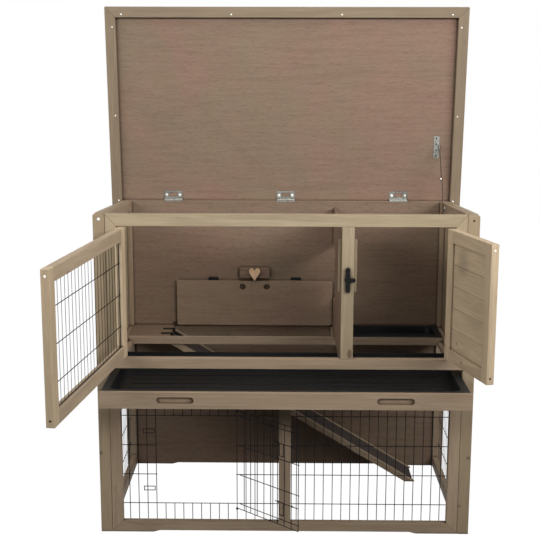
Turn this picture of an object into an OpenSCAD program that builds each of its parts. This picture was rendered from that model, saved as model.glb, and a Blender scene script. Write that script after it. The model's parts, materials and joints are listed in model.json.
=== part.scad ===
// Two-storey small animal hutch with a hinged lid, two front doors, a tray drawer and a wire run.
// It is drawn in the open pose: lid up, doors open, drawer pulled out, wire door swung out.
// X runs to the right, Y to the back and Z up, in millimetres.

/* [Body] */
// Width over the corner posts
body_w = 1090; // [1000:1:1200]
// Depth from the front face to the back face
body_d = 580; // [560:1:640]
// Height of the top at the front face
front_h = 956; // [930:1:1000]
// Height of the top at the back face
back_h = 921; // [900:1:925]

/* [Timber] */
// Width of a corner post, seen from the front
post_w = 33; // [28:1:40]
// Depth of a corner post
post_d = 35; // [28:1:45]
// Width of the front frames' stiles
stile_w = 33; // [28:1:40]
// Thickness of the front frames and of the door frames
stock_t = 22; // [18:0.5:26]
// Height of the rail over the doors
top_rail_h = 35; // [28:1:45]
// Height of the rail under the doors
mid_rail_h = 31; // [28:1:45]
// Height of the rail under the drawer
run_top_rail_h = 37; // [28:1:45]
// Height of the rail on the ground
bottom_rail_h = 33; // [28:1:45]
// Width of the two centre posts
centre_w = 35; // [28:1:40]
// Height of the side rails, and of the lower back rails
side_rail_h = 33; // [25:1:45]
// Thickness of the side and back rails
rail_t = 18; // [14:0.5:22]
// Height of the back rail under the lid hinges
back_top_rail_h = 50; // [40:1:70]
// Thickness of the side boards
board_t = 15; // [9:0.5:18]
// Thickness of the plywood sheets
ply_t = 9; // [6:0.5:10]
// Corner radius on top of the front posts
post_round = 5; // [3:0.5:14]
// Open joint between a post and the door frame beside it
post_gap = 0.6; // [0.2:0.1:0.9]
// Height of the recess between the feet
foot_relief = 5; // [4:0.5:12]
// Length of each foot, measured from the outer face of the post
foot_l = 155; // [80:1:250]
// Length of a foot's sloped end
foot_slope = 20; // [10:1:40]

/* [Levels] */
// Top of the lower front frame
run_h = 440; // [420:1:460]
// Gap between the drawer's front and the upper front frame
drawer_head = 16; // [14:0.5:24]
// Lift of the raised floor above the drawer tray's rim
floor_lift = 13; // [11:0.5:16]
// Lift of the side boards above the lower front frame
side_board_lift = 22; // [10:1:30]

/* [Doors] */
// Middle of the post between the doors, from the centre line
centre_x = 176.5; // [120:0.5:230]
// Gap above and at the free edge of a door
door_gap = 2; // [1:0.5:4]
// Gap under the doors
door_foot_gap = 9; // [2:0.5:14]
// Gap between the right door's free edge and the post, wide enough for the latch lever
latch_gap = 6; // [4:0.5:10]
// Width of the door frames' members
door_stock_w = 35; // [28:1:45]
// Gap between a door's hinged edge and its stile
hinge_gap = 2.4; // [2.2:0.1:3]
// Distance of the door hinges' axis in front of the frame
hinge_out = 3.2; // [3.1:0.1:4]
// Distance of the door hinges' middles from the door's ends
hinge_inset = 70; // [50:1:110]
// How far the left door stands open
left_open = 97; // [0:1:150]
// How far the right door stands open
right_open = 105; // [0:1:150]
// Count of boards in the right door
board_n = 5; // [3:1:7]
// Thickness of the right door's boards
door_board_t = 10; // [8:0.5:14]
// Groove between the right door's boards
board_groove = 1; // [1:0.5:3]
// Gap between neighbouring boards of the right door
board_gap = 0.9; // [0.2:0.1:0.9]
// Height of the stop strip behind the centre post
stop_h = 152; // [100:1:200]
// Overlap of the stop strip past each side of the centre post
stop_lap = 9; // [6:0.5:14]
// Thickness of the stop strip
stop_t = 8; // [5:0.5:12]

/* [Latch] */
// Height of the latch above the ground
latch_z = 768; // [700:1:820]
// Length of the latch bar
latch_bar_l = 72; // [60:1:80]
// Width of the latch bar
latch_bar_w = 12; // [9:0.5:16]
// Thickness of the latch bar
latch_bar_t = 5; // [4:0.5:7]
// Reach of the lever from the latch's axis
lever_l = 22; // [18:0.5:22]
// Radius of the lever's rounded end
lever_end_r = 6; // [4:0.5:7]

/* [Wire] */
// Diameter of the mesh wire
wire_d = 2.4; // [1.8:0.1:3]
// Spacing of the upright wires
wire_pitch = 26.6; // [22:0.1:32]
// Spacing of the level wires
wire_row = 91; // [70:1:100]
// Height of the lowest level wire on the front
wire_row_z = 81; // [70:1:90]
// Place of the first upright wire left of the run's centre
wire_first_x = 8.3; // [5:0.1:15]
// Share of a wire's diameter that sinks in at a weld
weld = 0.15; // [0.1:0.01:0.3]

/* [Wire door] */
// First upright wire that bounds the doorway, counted from the run's centre
door_from = 5; // [4:1:6]
// Upright wires across the doorway
door_cells = 9; // [7:1:9]
// Reach of the wire door above and below its opening
wire_door_lap = 15.5; // [10:0.5:20]
// How far the wire door stands open
wire_door_open = 138; // [0:1:155]
// Height of the upper bolt above the ground
upper_bolt_z = 310; // [306:1:335]
// Height of the lower bolt above the ground
lower_bolt_z = 132; // [124:1:155]
// Diameter of the bolt rod
bolt_d = 2.6; // [2.2:0.1:3]
// Travel of a bolt
bolt_travel = 22; // [15:0.5:22]
// Width of a bolt's loop handle
bolt_loop = 16; // [14:0.5:22]
// Drop of a bolt's loop handle below the rod
bolt_drop = 38; // [20:0.5:38]

/* [Drawer] */
// How far the drawer is pulled out
drawer_out = 180; // [0:1:200]
// Height of the drawer's front
drawer_h = 46; // [42:0.5:53]
// Thickness of the drawer's front
drawer_t = 15; // [14:0.5:20]
// Gap between the drawer's front and what surrounds it
drawer_gap = 2; // [2:0.5:5]
// Length of a handle recess
handle_l = 103; // [80:1:130]
// Height of a handle recess
handle_h = 20; // [14:0.5:26]
// Depth of a handle recess
handle_depth = 11; // [5:0.5:12]
// Distance of the handle recesses from the centre line
handle_x = 302; // [250:1:350]
// Depth of the plastic tray below its rim
tray_depth = 36; // [25:0.5:38]
// Wall of the plastic trays
tray_wall = 2.5; // [2:0.1:3]
// Width of the plastic trays' rim
tray_rim = 20; // [15:0.5:24]
// Height of the upstand along the drawer tray's back edge
tray_lip = 11; // [3:0.5:12]
// Corner radius inside the plastic trays
tray_round = 18; // [8:0.5:25]
// Width of a drawer runner
runner_w = 15; // [12:0.5:18]
// Height of a drawer runner
runner_h = 16; // [12:0.5:22]

/* [Raised floor] */
// Front face of the rail under the raised floor's edge, from the back wall
floor_d = 159; // [155:0.5:165]
// Thickness of that rail
floor_rail_t = 9; // [8:0.5:12]
// Height of that rail
floor_rail_h = 26; // [20:0.5:30]
// Length of the floor board left of the ramp hole
floor_board_w = 136; // [130:1:170]
// Width of the cleats under the floor
cleat_w = 14; // [12:0.5:18]
// Depth of the inlay tray in the right compartment
inlay_depth = 22; // [15:0.5:26]

/* [Partition] */
// Height of the top of the partition
partition_top = 900; // [880:1:905]
// Bottom of the partition's doorway
doorway_z = 600; // [560:1:640]
// Height of the partition's doorway
doorway_h = 177; // [140:1:220]
// Depth of the partition's doorway
doorway_d = 139; // [110:1:180]

/* [Flap] */
// Height of the flap that covers the ramp hole
flap_h = 155; // [150:0.5:160]
// Diameter of the flap's finger holes
finger_d = 20; // [16:0.5:26]
// Spacing of the flap's finger holes
finger_gap = 81; // [50:1:120]
// Distance of the finger holes below the flap's top edge
finger_drop = 20; // [16:0.5:30]
// Width of the clips on the back wall
clip_w = 32; // [20:1:45]
// Height of the clips on the back wall
clip_h = 13; // [8:0.5:18]
// Thickness of the clips on the back wall
clip_t = 3; // [2:0.5:5]
// Spacing of the clips on the back wall
clip_gap = 277; // [200:1:340]
// Corner radius of the clips
clip_round = 2; // [1:0.5:3]
// Width of the block behind the heart
block_w = 101; // [70:1:130]
// Height of the block behind the heart
block_h = 34; // [30:0.5:44]
// Width of the heart
heart_w = 38; // [28:0.5:44]
// Thickness of the heart
heart_t = 8; // [6:0.5:12]

/* [Ramp] */
// Slope of the ramp
ramp_slope = 31.2; // [29.5:0.1:33]
// Distance of the ramp's upper end below the floor board
ramp_drop = 22; // [22:0.1:40]
// Width of the ramp
ramp_w = 136; // [120:0.5:140]
// Thickness of the ramp's board
ramp_board_t = 9; // [6:0.5:12]
// Width of the ramp's side rails
ramp_rail_w = 15; // [10:0.5:20]
// Height of the ramp's side rails
ramp_rail_h = 17.5; // [16:0.5:26]
// Rise of the ramp's side rails above the grip sheet
ramp_lip = 3; // [1:0.5:6]
// Thickness of the grip sheet on the ramp
grip_t = 1.5; // [1:0.1:2.5]
// Width of a ramp hook
hook_w = 20; // [14:0.5:22]
// Thickness of a ramp hook
hook_t = 3; // [2:0.1:4]
// Spacing of the ramp hooks
hook_gap = 62; // [50:1:70]
// Reach of a ramp hook's foot over the ramp
hook_l = 40; // [25:1:60]

/* [Lid] */
// Length of the lid in front of its hinge axis
lid_l = 628; // [600:1:700]
// Reach of the lid behind its hinge axis
lid_back = 15; // [8:0.5:30]
// Thickness of the lid's sheet
lid_t = 9; // [6:0.5:14]
// Width of the lid's battens
batten_w = 33; // [28:0.5:40]
// Gap between a post and the side batten of the closed lid
batten_gap = 2; // [1:0.5:6]
// Thickness of the lid's battens
batten_t = 18; // [12:0.5:22]
// Thickness of the roofing felt
felt_t = 2; // [1:0.1:3]
// Lean of the open lid in front of upright
lid_lean = 5.4; // [0:0.1:20]
// Spacing of the lid hinges
lid_hinge_gap = 376; // [300:1:430]
// Length of a lid hinge
lid_hinge_l = 60; // [50:1:80]
// Width of the window in a lid hinge's leaf
hinge_window_w = 28; // [20:0.5:32]
// Width of the leaf's border around that window
hinge_border = 5; // [4:0.5:6]

/* [Hinges and stay] */
// Radius of a hinge barrel
barrel_r = 2.6; // [2.4:0.1:3]
// Radius of a hinge pin
pin_r = 1.3; // [1:0.1:1.5]
// Clearance around a hinge pin
pin_gap = 0.06; // [0.03:0.01:0.1]
// Gap between neighbouring knuckles
knuckle_gap = 0.4; // [0.3:0.1:0.8]
// Length of a door hinge
door_hinge_l = 50; // [40:1:60]
// Extra length of each arm of the lid stay over half of its open reach
stay_slack = 0.3; // [0.1:0.1:4]
// Width of a stay arm
stay_arm_w = 10; // [8:0.5:14]
// Thickness of the stay's metal
stay_t = 1.5; // [1:0.1:2]
// Distance of the stay's pivot on the lid from the hinge axis
stay_lid_s = 179; // [175:0.5:182]
// Distance of the stay's pivot on the side wall in front of the hinge axis
stay_root_s = 133.5; // [120:0.5:140]
// Distance of the stay's pivot on the side wall below the back edge
stay_root_drop = 23; // [15:0.5:28]
// Length of the stay's plate on the lid
stay_plate_l = 74; // [50:1:90]
// Width of the stay's plate on the lid
stay_plate_w = 18; // [14:0.5:24]

/* [Hidden] */

// Colours
frame_wood = "#AA9A7C";
lower_wood = "#84735F";
ply_wood = "#8A7566";
inner_wood = "#6E5C4E";
heart_wood = "#C99E80";
black_plastic = "#1E1E1C";
black_wire = "#2A2A2A";
zinc = "#B9BCBE";
felt = "#3A3A3A";

// Small clearances
fit_gap = 0.3;
slide_gap = 0.5;
seat_gap = 0.05;
loose_gap = 2;
cut = 1;

// Levels that follow from the top of the lower front frame
side_board_z = run_h + side_board_lift;
drawer_z = run_h + drawer_gap;
rim_z = drawer_z + drawer_h - loose_gap;
floor_z = rim_z + floor_lift;
upper_z = drawer_z + drawer_h + drawer_head;

// Inner face of the posts and of the stiles, and the back wall's inner face
in_x = body_w / 2 - post_w;
open_x = in_x - stile_w;
back_in = body_d - rail_t - ply_t;

// The top falls evenly from front to back
top_slope = atan((front_h - back_h) / body_d);
function top_z(y) = front_h - y * tan(top_slope);

// Upper front frame
upper_top = top_z(stock_t);
door_low = upper_z + mid_rail_h + door_foot_gap;
door_high = upper_top - top_rail_h - door_gap;
door_h = door_high - door_low;
door_t = stock_t - slide_gap;
hinge_x = open_x - hinge_gap / 2;
centre_left = centre_x - centre_w / 2;
centre_right = centre_x + centre_w / 2;
left_door_w = hinge_x + centre_left - door_gap;
right_door_w = hinge_x - centre_right - latch_gap;
door_hinge_t = 1;
door_hinge_half_gap = hinge_gap / 2 - door_hinge_t;
door_hinge_margin = 4;
door_hinge_w = hinge_out + stock_t - door_hinge_margin;

// Turn latch
latch_plate_t = 3;
latch_plate_r = 9;
latch_pin_r = 3;

// Lid hinge axis, and the lid's turn from closed level to the open pose
lid_w = body_w + 2 * (batten_w + batten_gap);
lid_leaf_t = 1.5;
lid_leaf_gap = 0.7;
lid_leaf_w = rail_t + ply_t + barrel_r;
lid_axis_y = body_d + barrel_r + slide_gap;
lid_axis_z = back_h + lid_leaf_t + lid_leaf_gap;
lid_turn = lid_lean - 90;
lid_under = lid_leaf_t + lid_leaf_gap;

// Middle of the open hutch's depth: the origin sits there
door_corner = [left_door_w, hinge_out + door_t];
front_reach = -hinge_out - door_corner[0] * sin(left_open) + min(0, door_corner[1] * cos(left_open));
lid_outer = lid_under + lid_t + felt_t;
back_reach = lid_axis_y + lid_outer * cos(lid_lean) + lid_back * sin(lid_lean);
middle_y = (front_reach + back_reach) / 2;

// Wire mesh
wire_r = wire_d / 2;
weld_step = wire_d * (1 - weld);
mesh_y = stock_t + wire_r;
mesh_row_y = mesh_y + weld_step;
mesh_lap = 20;
mesh_low = bottom_rail_h - mesh_lap;
mesh_high = run_h - run_top_rail_h + mesh_lap;
mesh_end_x = open_x + stile_w / 2;
mesh_start_x = centre_w / 2 - stile_w / 2 + loose_gap;
row_n = floor((mesh_high - wire_row_z) / wire_row);
opening_top = wire_row_z + 3 * wire_row;
function run_x(n) = wire_first_x + n * wire_pitch;
run_n = floor((mesh_end_x - wire_r - wire_first_x) / wire_pitch);
wire_hinge_x = -run_x(door_from);
wire_jamb_x = -run_x(door_from + door_cells);

// Wire door, in the closed place
wire_door_y = mesh_y - wire_d - slide_gap;
wire_door_low = wire_row_z - wire_door_lap;
wire_door_high = opening_top + wire_door_lap;
eye_wall = 2;
eye_r = wire_r + pin_gap + eye_wall;
eye_h = 5;
bolt_r = bolt_d / 2;
bolt_y = wire_door_y - wire_r - fit_gap - bolt_r;
guide_wall = 1.4;
guide_r = bolt_r + pin_gap + guide_wall;
guide_l = 3;
bolt_inset = 3;
bolt_tip_x = wire_jamb_x + bolt_inset;
guide_xs = [wire_jamb_x + wire_pitch, wire_jamb_x + 3 * wire_pitch];
bolt_tail = 8;
bolt_end_x = guide_xs[1] + guide_l + bolt_tail;
loop_end_x = guide_xs[1] - guide_l - bolt_r;
keeper_y = bolt_y - bolt_r - wire_r - slide_gap;
keeper_h = 12;
keeper_spare = 10;
keeper_w = bolt_travel + keeper_spare;
keeper_end_x = wire_jamb_x - 1.5 * wire_d;

// Drawer
drawer_half = in_x - drawer_gap / 2;
rim_t = tray_wall;
rim_half = in_x - drawer_gap * 2;
floor_front = back_in - floor_d;
tray_back = floor_front - drawer_gap;
runner_z = rim_z - rim_t - fit_gap;
rib_h = 2;
rib_w = 4;
rib_n = 7;

// Raised floor
floor_rail_back = floor_front + floor_rail_t;
board_end_x = -in_x + floor_board_w;
cross_w = 21;
partition_x = centre_left + loose_gap / 2;
cross_x = partition_x + ply_t / 2 - cross_w / 2;
inlay_x = partition_x + ply_t + loose_gap;
inlay_rim = 18;
inlay_ribs = 3;
notch_w = hook_w + loose_gap;
notch_l = 32;
hook_shift = 11;
hook_y = (floor_rail_back + back_in) / 2 - hook_shift;

// Flap over the ramp hole
ramp_from = board_end_x + hook_t + loose_gap;
bracket_t = 1.5;
bracket_w = 14;
flap_from = ramp_from + bracket_w / 2;
flap_to = partition_x - bracket_t - fit_gap;
flap_mid = (flap_from + flap_to) / 2;
flap_foot_z = floor_z + loose_gap / 2;
flap_back_gap = 7;
flap_pin_z = flap_foot_z + ply_t / 2;
flap_pin_y = back_in - flap_back_gap - ply_t / 2;
flap_pin_r = 2;
flap_pin_l = bracket_t + fit_gap - 2 * seat_gap;
flap_top = flap_foot_z + flap_h;
heart_tip_z = flap_top + loose_gap;
heart_r = heart_w / 4;
heart_h = heart_w * 1.1;
heart_notch = heart_r * 0.1;
dowel_r = 3;
dowel_l = heart_t * 0.6;
heart_lobe_z = heart_tip_z + heart_h - heart_r;
heart_pin_z = heart_tip_z + heart_h * 0.55;
// Angle on a lobe at which the heart's straight flank meets it
heart_run = heart_lobe_z - heart_tip_z;
heart_flank = 90 - atan(heart_run / heart_r) + asin(heart_r / norm([heart_r, heart_run]));
block_lift = 10;
block_z = flap_top + block_lift;
block_front = flap_pin_y - ply_t / 2 - loose_gap;
screw_head_r = 4;
screw_head_t = 1.5;

// Ramp: heights of lines parallel to it, counted from its underside
ramp_low_end = ramp_from + (floor_z - ply_t - ramp_drop) / tan(ramp_slope);
ramp_y = floor_rail_back + loose_gap;
function ramp_z(x, up) = (ramp_low_end - x) * tan(ramp_slope) + up / cos(ramp_slope);
function ramp_foot(up) = ramp_low_end + up / sin(ramp_slope);

// Lid stay: its pivots in the (Y, Z) plane of the open pose
stay_wall_gap = 7;
stay_x = in_x - stay_wall_gap;
stay_pin_r = 2;
stay_lid_n = -8;
stay_lug_w = 18;
stay_rivet_r = stay_arm_w * 0.48;
stay_root_y = lid_axis_y - stay_root_s;
stay_root_z = back_h - stay_root_drop;
function lid_point(s, n, turn) =
    [lid_axis_y - s * cos(turn) - n * sin(turn), lid_axis_z - s * sin(turn) + n * cos(turn)];
stay_lid_pivot = lid_point(stay_lid_s, stay_lid_n, lid_turn);
stay_root_pivot = [stay_root_y, stay_root_z];
stay_base = stay_lid_pivot - stay_root_pivot;
stay_half = norm(stay_base) / 2;
stay_arm = stay_half + stay_slack;
stay_bow = sqrt(stay_arm * stay_arm - stay_half * stay_half);
stay_side = [-stay_base[1], stay_base[0]] / norm(stay_base);
stay_elbow = stay_root_pivot + stay_base / 2 + stay_side * stay_bow;

// Shared shapes

// Moves a piece from the front-face frame to the part's origin and colours it
module piece(shade) {
    color(shade) translate([0, -middle_y, 0]) children();
}

// A flat outline in X and Z, thickened towards +Y
module upright(t) {
    translate([0, t, 0]) rotate([90, 0, 0]) linear_extrude(t) children();
}

// A flat outline in Y and Z, thickened towards +X
module sideways(t) {
    rotate([90, 0, 90]) linear_extrude(t) children();
}

// A piece and its mirror image on the other side of the hutch
module both_sides() {
    children();
    mirror([1, 0, 0]) children();
}

// A rail with both ends mitred, wide side down, its middle on X = 0
module mitred_rail(half, h, mitre) {
    polygon([[-half, 0], [half, 0], [half - mitre, h], [-half + mitre, h]]);
}

// A rectangle with round corners
module round_rect(w, d, r) {
    translate([-w / 2 + r, -d / 2]) square([w - 2 * r, d]);
    translate([-w / 2, -d / 2 + r]) square([w, d - 2 * r]);
    for (x = [-w / 2 + r, w / 2 - r], y = [-d / 2 + r, d / 2 - r])
        translate([x, y]) circle(r, $fn = 48);
}

// An outline with the two round ends of a slot
module slot_shape(l, h) {
    square([l - h, h], center = true);
    for (x = [-1, 1]) translate([x * (l - h) / 2, 0]) circle(h / 2, $fn = 48);
}

// Straight lengths of eight-sided wire along each axis
module wire_x(from, to, y, z) {
    translate([from, y, z]) rotate([0, 90, 0]) rotate(22.5) cylinder(h = to - from, r = wire_r, $fn = 8);
}
module wire_y(from, to, x, z) {
    translate([x, from, z]) rotate([-90, 0, 0]) rotate(22.5) cylinder(h = to - from, r = wire_r, $fn = 8);
}
module wire_z(from, to, x, y) {
    translate([x, y, from]) rotate(22.5) cylinder(h = to - from, r = wire_r, $fn = 8);
}

// One half of a butt hinge: its barrel runs along +Z from 0 and its leaf towards +Y on the +X side
module hinge_half(l, leaf_w, leaf_t, half_gap, first, pinned) {
    knuckle_n = 5;
    step = l / knuckle_n;
    difference() {
        union() {
            translate([half_gap, barrel_r + slide_gap, 0])
                cube([leaf_t, leaf_w - barrel_r - slide_gap, l]);
            for (k = [first : 2 : knuckle_n - 1])
                translate([0, 0, k * step + knuckle_gap / 2]) {
                    cylinder(h = step - knuckle_gap, r = barrel_r, $fn = 32);
                    translate([half_gap, 0, 0])
                        cube([leaf_t, barrel_r + cut, step - knuckle_gap]);
                }
        }
        if (!pinned)
            translate([0, 0, -cut]) cylinder(h = l + 2 * cut, r = pin_r + pin_gap, $fn = 32);
    }
    if (pinned) translate([0, 0, knuckle_gap]) cylinder(h = l - 2 * knuckle_gap, r = pin_r, $fn = 32);
}

// Places that move: the lid, the doors and the wire door in the open pose
module on_lid() {
    translate([0, lid_axis_y, lid_axis_z]) rotate([lid_turn, 0, 0]) children();
}
module on_left_door() {
    translate([-hinge_x, -hinge_out, 0]) rotate(-left_open) children();
}
module on_right_door() {
    translate([hinge_x, -hinge_out, 0]) rotate(right_open) mirror([1, 0, 0]) children();
}
module on_wire_door() {
    translate([wire_hinge_x, mesh_y, 0]) rotate(wire_door_open)
        translate([-wire_hinge_x, -mesh_y, 0]) children();
}
module on_drawer() {
    translate([0, -drawer_out, 0]) children();
}

// Upper front frame

module upper_top_rail() {
    piece(frame_wood) upright(stock_t)
        translate([0, upper_top]) mirror([0, 1]) mitred_rail(in_x, top_rail_h, stile_w);
}
module upper_bottom_rail() {
    piece(frame_wood) upright(stock_t)
        translate([0, upper_z]) mitred_rail(in_x, mid_rail_h, stile_w);
}
module upper_stiles() {
    piece(frame_wood) both_sides() upright(stock_t) stile_shape(upper_z, mid_rail_h, upper_top, top_rail_h);
}
// A stile with both ends mitred to the rails and its outer edge clear of the post
module stile_shape(low, low_rail_h, high, high_rail_h) {
    gap_share = post_gap / (in_x - open_x);
    polygon([
        [-in_x + post_gap, low + low_rail_h * gap_share], [-open_x, low + low_rail_h],
        [-open_x, high - high_rail_h], [-in_x + post_gap, high - high_rail_h * gap_share]
    ]);
}
module upper_centre_post() {
    piece(frame_wood)
        translate([centre_left, 0, upper_z + mid_rail_h])
            cube([centre_w, stock_t, upper_top - top_rail_h - upper_z - mid_rail_h]);
}
module door_stop() {
    piece(frame_wood)
        translate([centre_left - stop_lap, stock_t, (door_low + door_high - stop_h) / 2 + door_h / 5])
            cube([centre_w + 2 * stop_lap, stop_t, stop_h]);
}

// Lower front frame

module foot_cut(half, relief) {
    polygon([
        [-half + foot_l, -cut], [-half + foot_l, 0], [-half + foot_l + foot_slope, relief],
        [half - foot_l - foot_slope, relief], [half - foot_l, 0], [half - foot_l, -cut]
    ]);
}
module lower_top_rail() {
    piece(lower_wood) upright(stock_t)
        translate([0, run_h]) mirror([0, 1]) mitred_rail(in_x, run_top_rail_h, stile_w);
}
module lower_bottom_rail() {
    piece(lower_wood) upright(stock_t) difference() {
        mitred_rail(in_x, bottom_rail_h, stile_w);
        foot_cut(body_w / 2, foot_relief);
    }
}
module lower_stiles() {
    piece(lower_wood) both_sides() upright(stock_t) stile_shape(0, bottom_rail_h, run_h, run_top_rail_h);
}
module lower_centre_post() {
    piece(lower_wood)
        translate([-centre_w / 2, 0, bottom_rail_h])
            cube([centre_w, stock_t, run_h - run_top_rail_h - bottom_rail_h]);
}

// Side walls

module front_posts() {
    piece(lower_wood) both_sides() translate([in_x + post_w / 2, 0, 0]) upright(post_d) {
        translate([-post_w / 2, 0]) square([post_w, top_z(post_d) - post_round]);
        translate([-post_w / 2 + post_round, 0]) square([post_w - 2 * post_round, top_z(post_d)]);
        for (x = [-1, 1])
            translate([x * (post_w / 2 - post_round), top_z(post_d) - post_round])
                circle(post_round, $fn = 48);
    }
}
module back_posts() {
    piece(lower_wood) both_sides() translate([in_x, body_d - post_d, 0]) cube([post_w, post_d, back_h]);
}
module side_boards() {
    piece(frame_wood) both_sides() translate([in_x + rail_t, 0, 0]) sideways(board_t)
        polygon([
            [post_d, side_board_z], [body_d - post_d, side_board_z],
            [body_d - post_d, top_z(body_d - post_d)], [post_d, top_z(post_d)]
        ]);
}
module side_rails() {
    piece(frame_wood) both_sides() translate([in_x, 0, 0]) sideways(rail_t) {
        for (z = [foot_relief / 2, side_board_z])
            translate([post_d, z]) square([body_d - 2 * post_d, side_rail_h]);
        polygon([
            [post_d, top_z(post_d) - side_rail_h], [body_d - post_d, top_z(body_d - post_d) - side_rail_h],
            [body_d - post_d, top_z(body_d - post_d)], [post_d, top_z(post_d)]
        ]);
    }
}
module side_mesh() {
    upright_x = in_x + rail_t + wire_r;
    row_x = upright_x + weld_step;
    clear_d = body_d - 2 * post_d;
    column_n = floor((clear_d - wire_pitch) / wire_pitch);
    start_y = body_d / 2 - column_n * wire_pitch / 2;
    piece(black_wire) both_sides() {
        for (n = [0 : column_n])
            wire_z(foot_relief, side_board_z, upright_x, start_y + n * wire_pitch);
        for (n = [0 : row_n])
            wire_y(post_d, body_d - post_d, row_x, wire_row_z + n * wire_row);
    }
}

// Back wall

module back_panel() {
    piece(ply_wood) translate([0, back_in, 0]) upright(ply_t) difference() {
        translate([-in_x, 0]) square([2 * in_x, back_h]);
        foot_cut(body_w / 2, foot_relief);
    }
}
module back_rails() {
    piece(frame_wood) translate([-in_x, body_d - rail_t, 0]) {
        translate([0, 0, back_h - back_top_rail_h]) cube([2 * in_x, rail_t, back_top_rail_h]);
        for (z = [foot_relief, floor_z - floor_rail_h])
            translate([0, 0, z]) cube([2 * in_x, rail_t, side_rail_h]);
    }
}

// Inside of the upper storey

module partition() {
    from_y = stock_t + stop_t;
    piece(inner_wood) translate([partition_x, 0, 0]) sideways(ply_t) difference() {
        translate([from_y, floor_z]) square([back_in - from_y, partition_top - floor_z]);
        translate([back_in - doorway_d, doorway_z]) square([doorway_d + cut, doorway_h]);
    }
}
module floor_board() {
    piece(ply_wood) difference() {
        translate([-in_x, floor_rail_back, floor_z - ply_t])
            cube([floor_board_w, back_in - floor_rail_back, ply_t]);
        for (side = [-1, 1])
            translate([board_end_x - notch_l, hook_y + side * hook_gap / 2 - notch_w / 2, floor_z - hook_t])
                cube([notch_l + cut, notch_w, hook_t + cut]);
    }
}
module floor_rails() {
    from_y = floor_rail_back + seat_gap;
    depth = back_in - from_y;
    low = floor_z - floor_rail_h;
    under_board = floor_rail_h - ply_t;
    piece(frame_wood) {
        translate([-in_x, floor_front, low]) cube([2 * in_x, floor_rail_t, floor_rail_h]);
        translate([-in_x, from_y, low]) cube([cleat_w, depth, under_board]);
        translate([board_end_x - notch_l - cleat_w / 2, from_y, low]) cube([2 * cleat_w, depth, under_board]);
        translate([cross_x, from_y, low]) cube([cross_w, depth, floor_rail_h]);
        translate([in_x - cleat_w, from_y, low]) cube([cleat_w, depth, floor_rail_h]);
    }
}

// A shallow moulded tray: rim from z = 0 down by its wall, basin below it, ribs along X on its floor
module moulded_tray(w, d, depth, rim, ribs) {
    basin_w = w - 2 * rim;
    basin_d = d - 2 * rim;
    difference() {
        union() {
            translate([-w / 2, -d / 2, -rim_t]) cube([w, d, rim_t]);
            translate([0, 0, -depth]) linear_extrude(depth)
                round_rect(basin_w, basin_d, tray_round + tray_wall);
        }
        translate([0, 0, tray_wall - depth]) linear_extrude(depth)
            round_rect(basin_w - 2 * tray_wall, basin_d - 2 * tray_wall, tray_round);
    }
    for (n = [1 : ribs])
        translate([0, basin_d * (n / (ribs + 1) - 0.5), tray_wall - depth])
            translate([-basin_w / 2 + tray_round * 2, -rib_w / 2, -cut])
                cube([basin_w - tray_round * 4, rib_w, rib_h + cut]);
}
module rear_tray() {
    w = in_x - inlay_x - loose_gap / 2;
    d = floor_d - 2 * loose_gap;
    piece(black_plastic)
        translate([inlay_x + w / 2, floor_front + loose_gap + d / 2, floor_z + rim_t])
            moulded_tray(w, d, inlay_depth + rim_t, inlay_rim, inlay_ribs);
}

// Ramp from the raised floor to the ground

module ramp_strip(low, high, from_y, w) {
    translate([0, from_y, 0]) upright(w)
        polygon([
            [ramp_from, ramp_z(ramp_from, low)], [ramp_from, ramp_z(ramp_from, high)],
            [ramp_foot(high), 0], [ramp_foot(low), 0]
        ]);
}
module ramp_board() {
    top = ramp_rail_h - ramp_lip - grip_t;
    piece(inner_wood) ramp_strip(top - ramp_board_t, top, ramp_y + ramp_rail_w, ramp_w - 2 * ramp_rail_w);
}
module ramp_side_rails() {
    piece(frame_wood) for (y = [ramp_y, ramp_y + ramp_w - ramp_rail_w])
        ramp_strip(0, ramp_rail_h, y, ramp_rail_w);
}
module ramp_grip() {
    top = ramp_rail_h - ramp_lip;
    piece(felt) ramp_strip(top - grip_t, top, ramp_y + ramp_rail_w, ramp_w - 2 * ramp_rail_w);
}
module ramp_hooks() {
    seat_z = floor_z - hook_t;
    seat_x = board_end_x - notch_l + loose_gap;
    grip_top = ramp_rail_h - ramp_lip;
    foot_x = ramp_from + hook_l;
    piece(black_wire) for (side = [-1, 1])
        translate([0, hook_y + side * hook_gap / 2 - hook_w / 2, 0]) upright(hook_w)
            polygon([
                [seat_x, seat_z], [ramp_from, seat_z],
                [ramp_from, ramp_z(ramp_from, grip_top)], [foot_x, ramp_z(foot_x, grip_top)],
                [foot_x, ramp_z(foot_x, grip_top + hook_t)],
                [ramp_from + hook_t, ramp_z(ramp_from + hook_t, grip_top + hook_t)],
                [ramp_from + hook_t, seat_z + hook_t], [seat_x, seat_z + hook_t]
            ]);
}

// Wire mesh of the run

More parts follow.
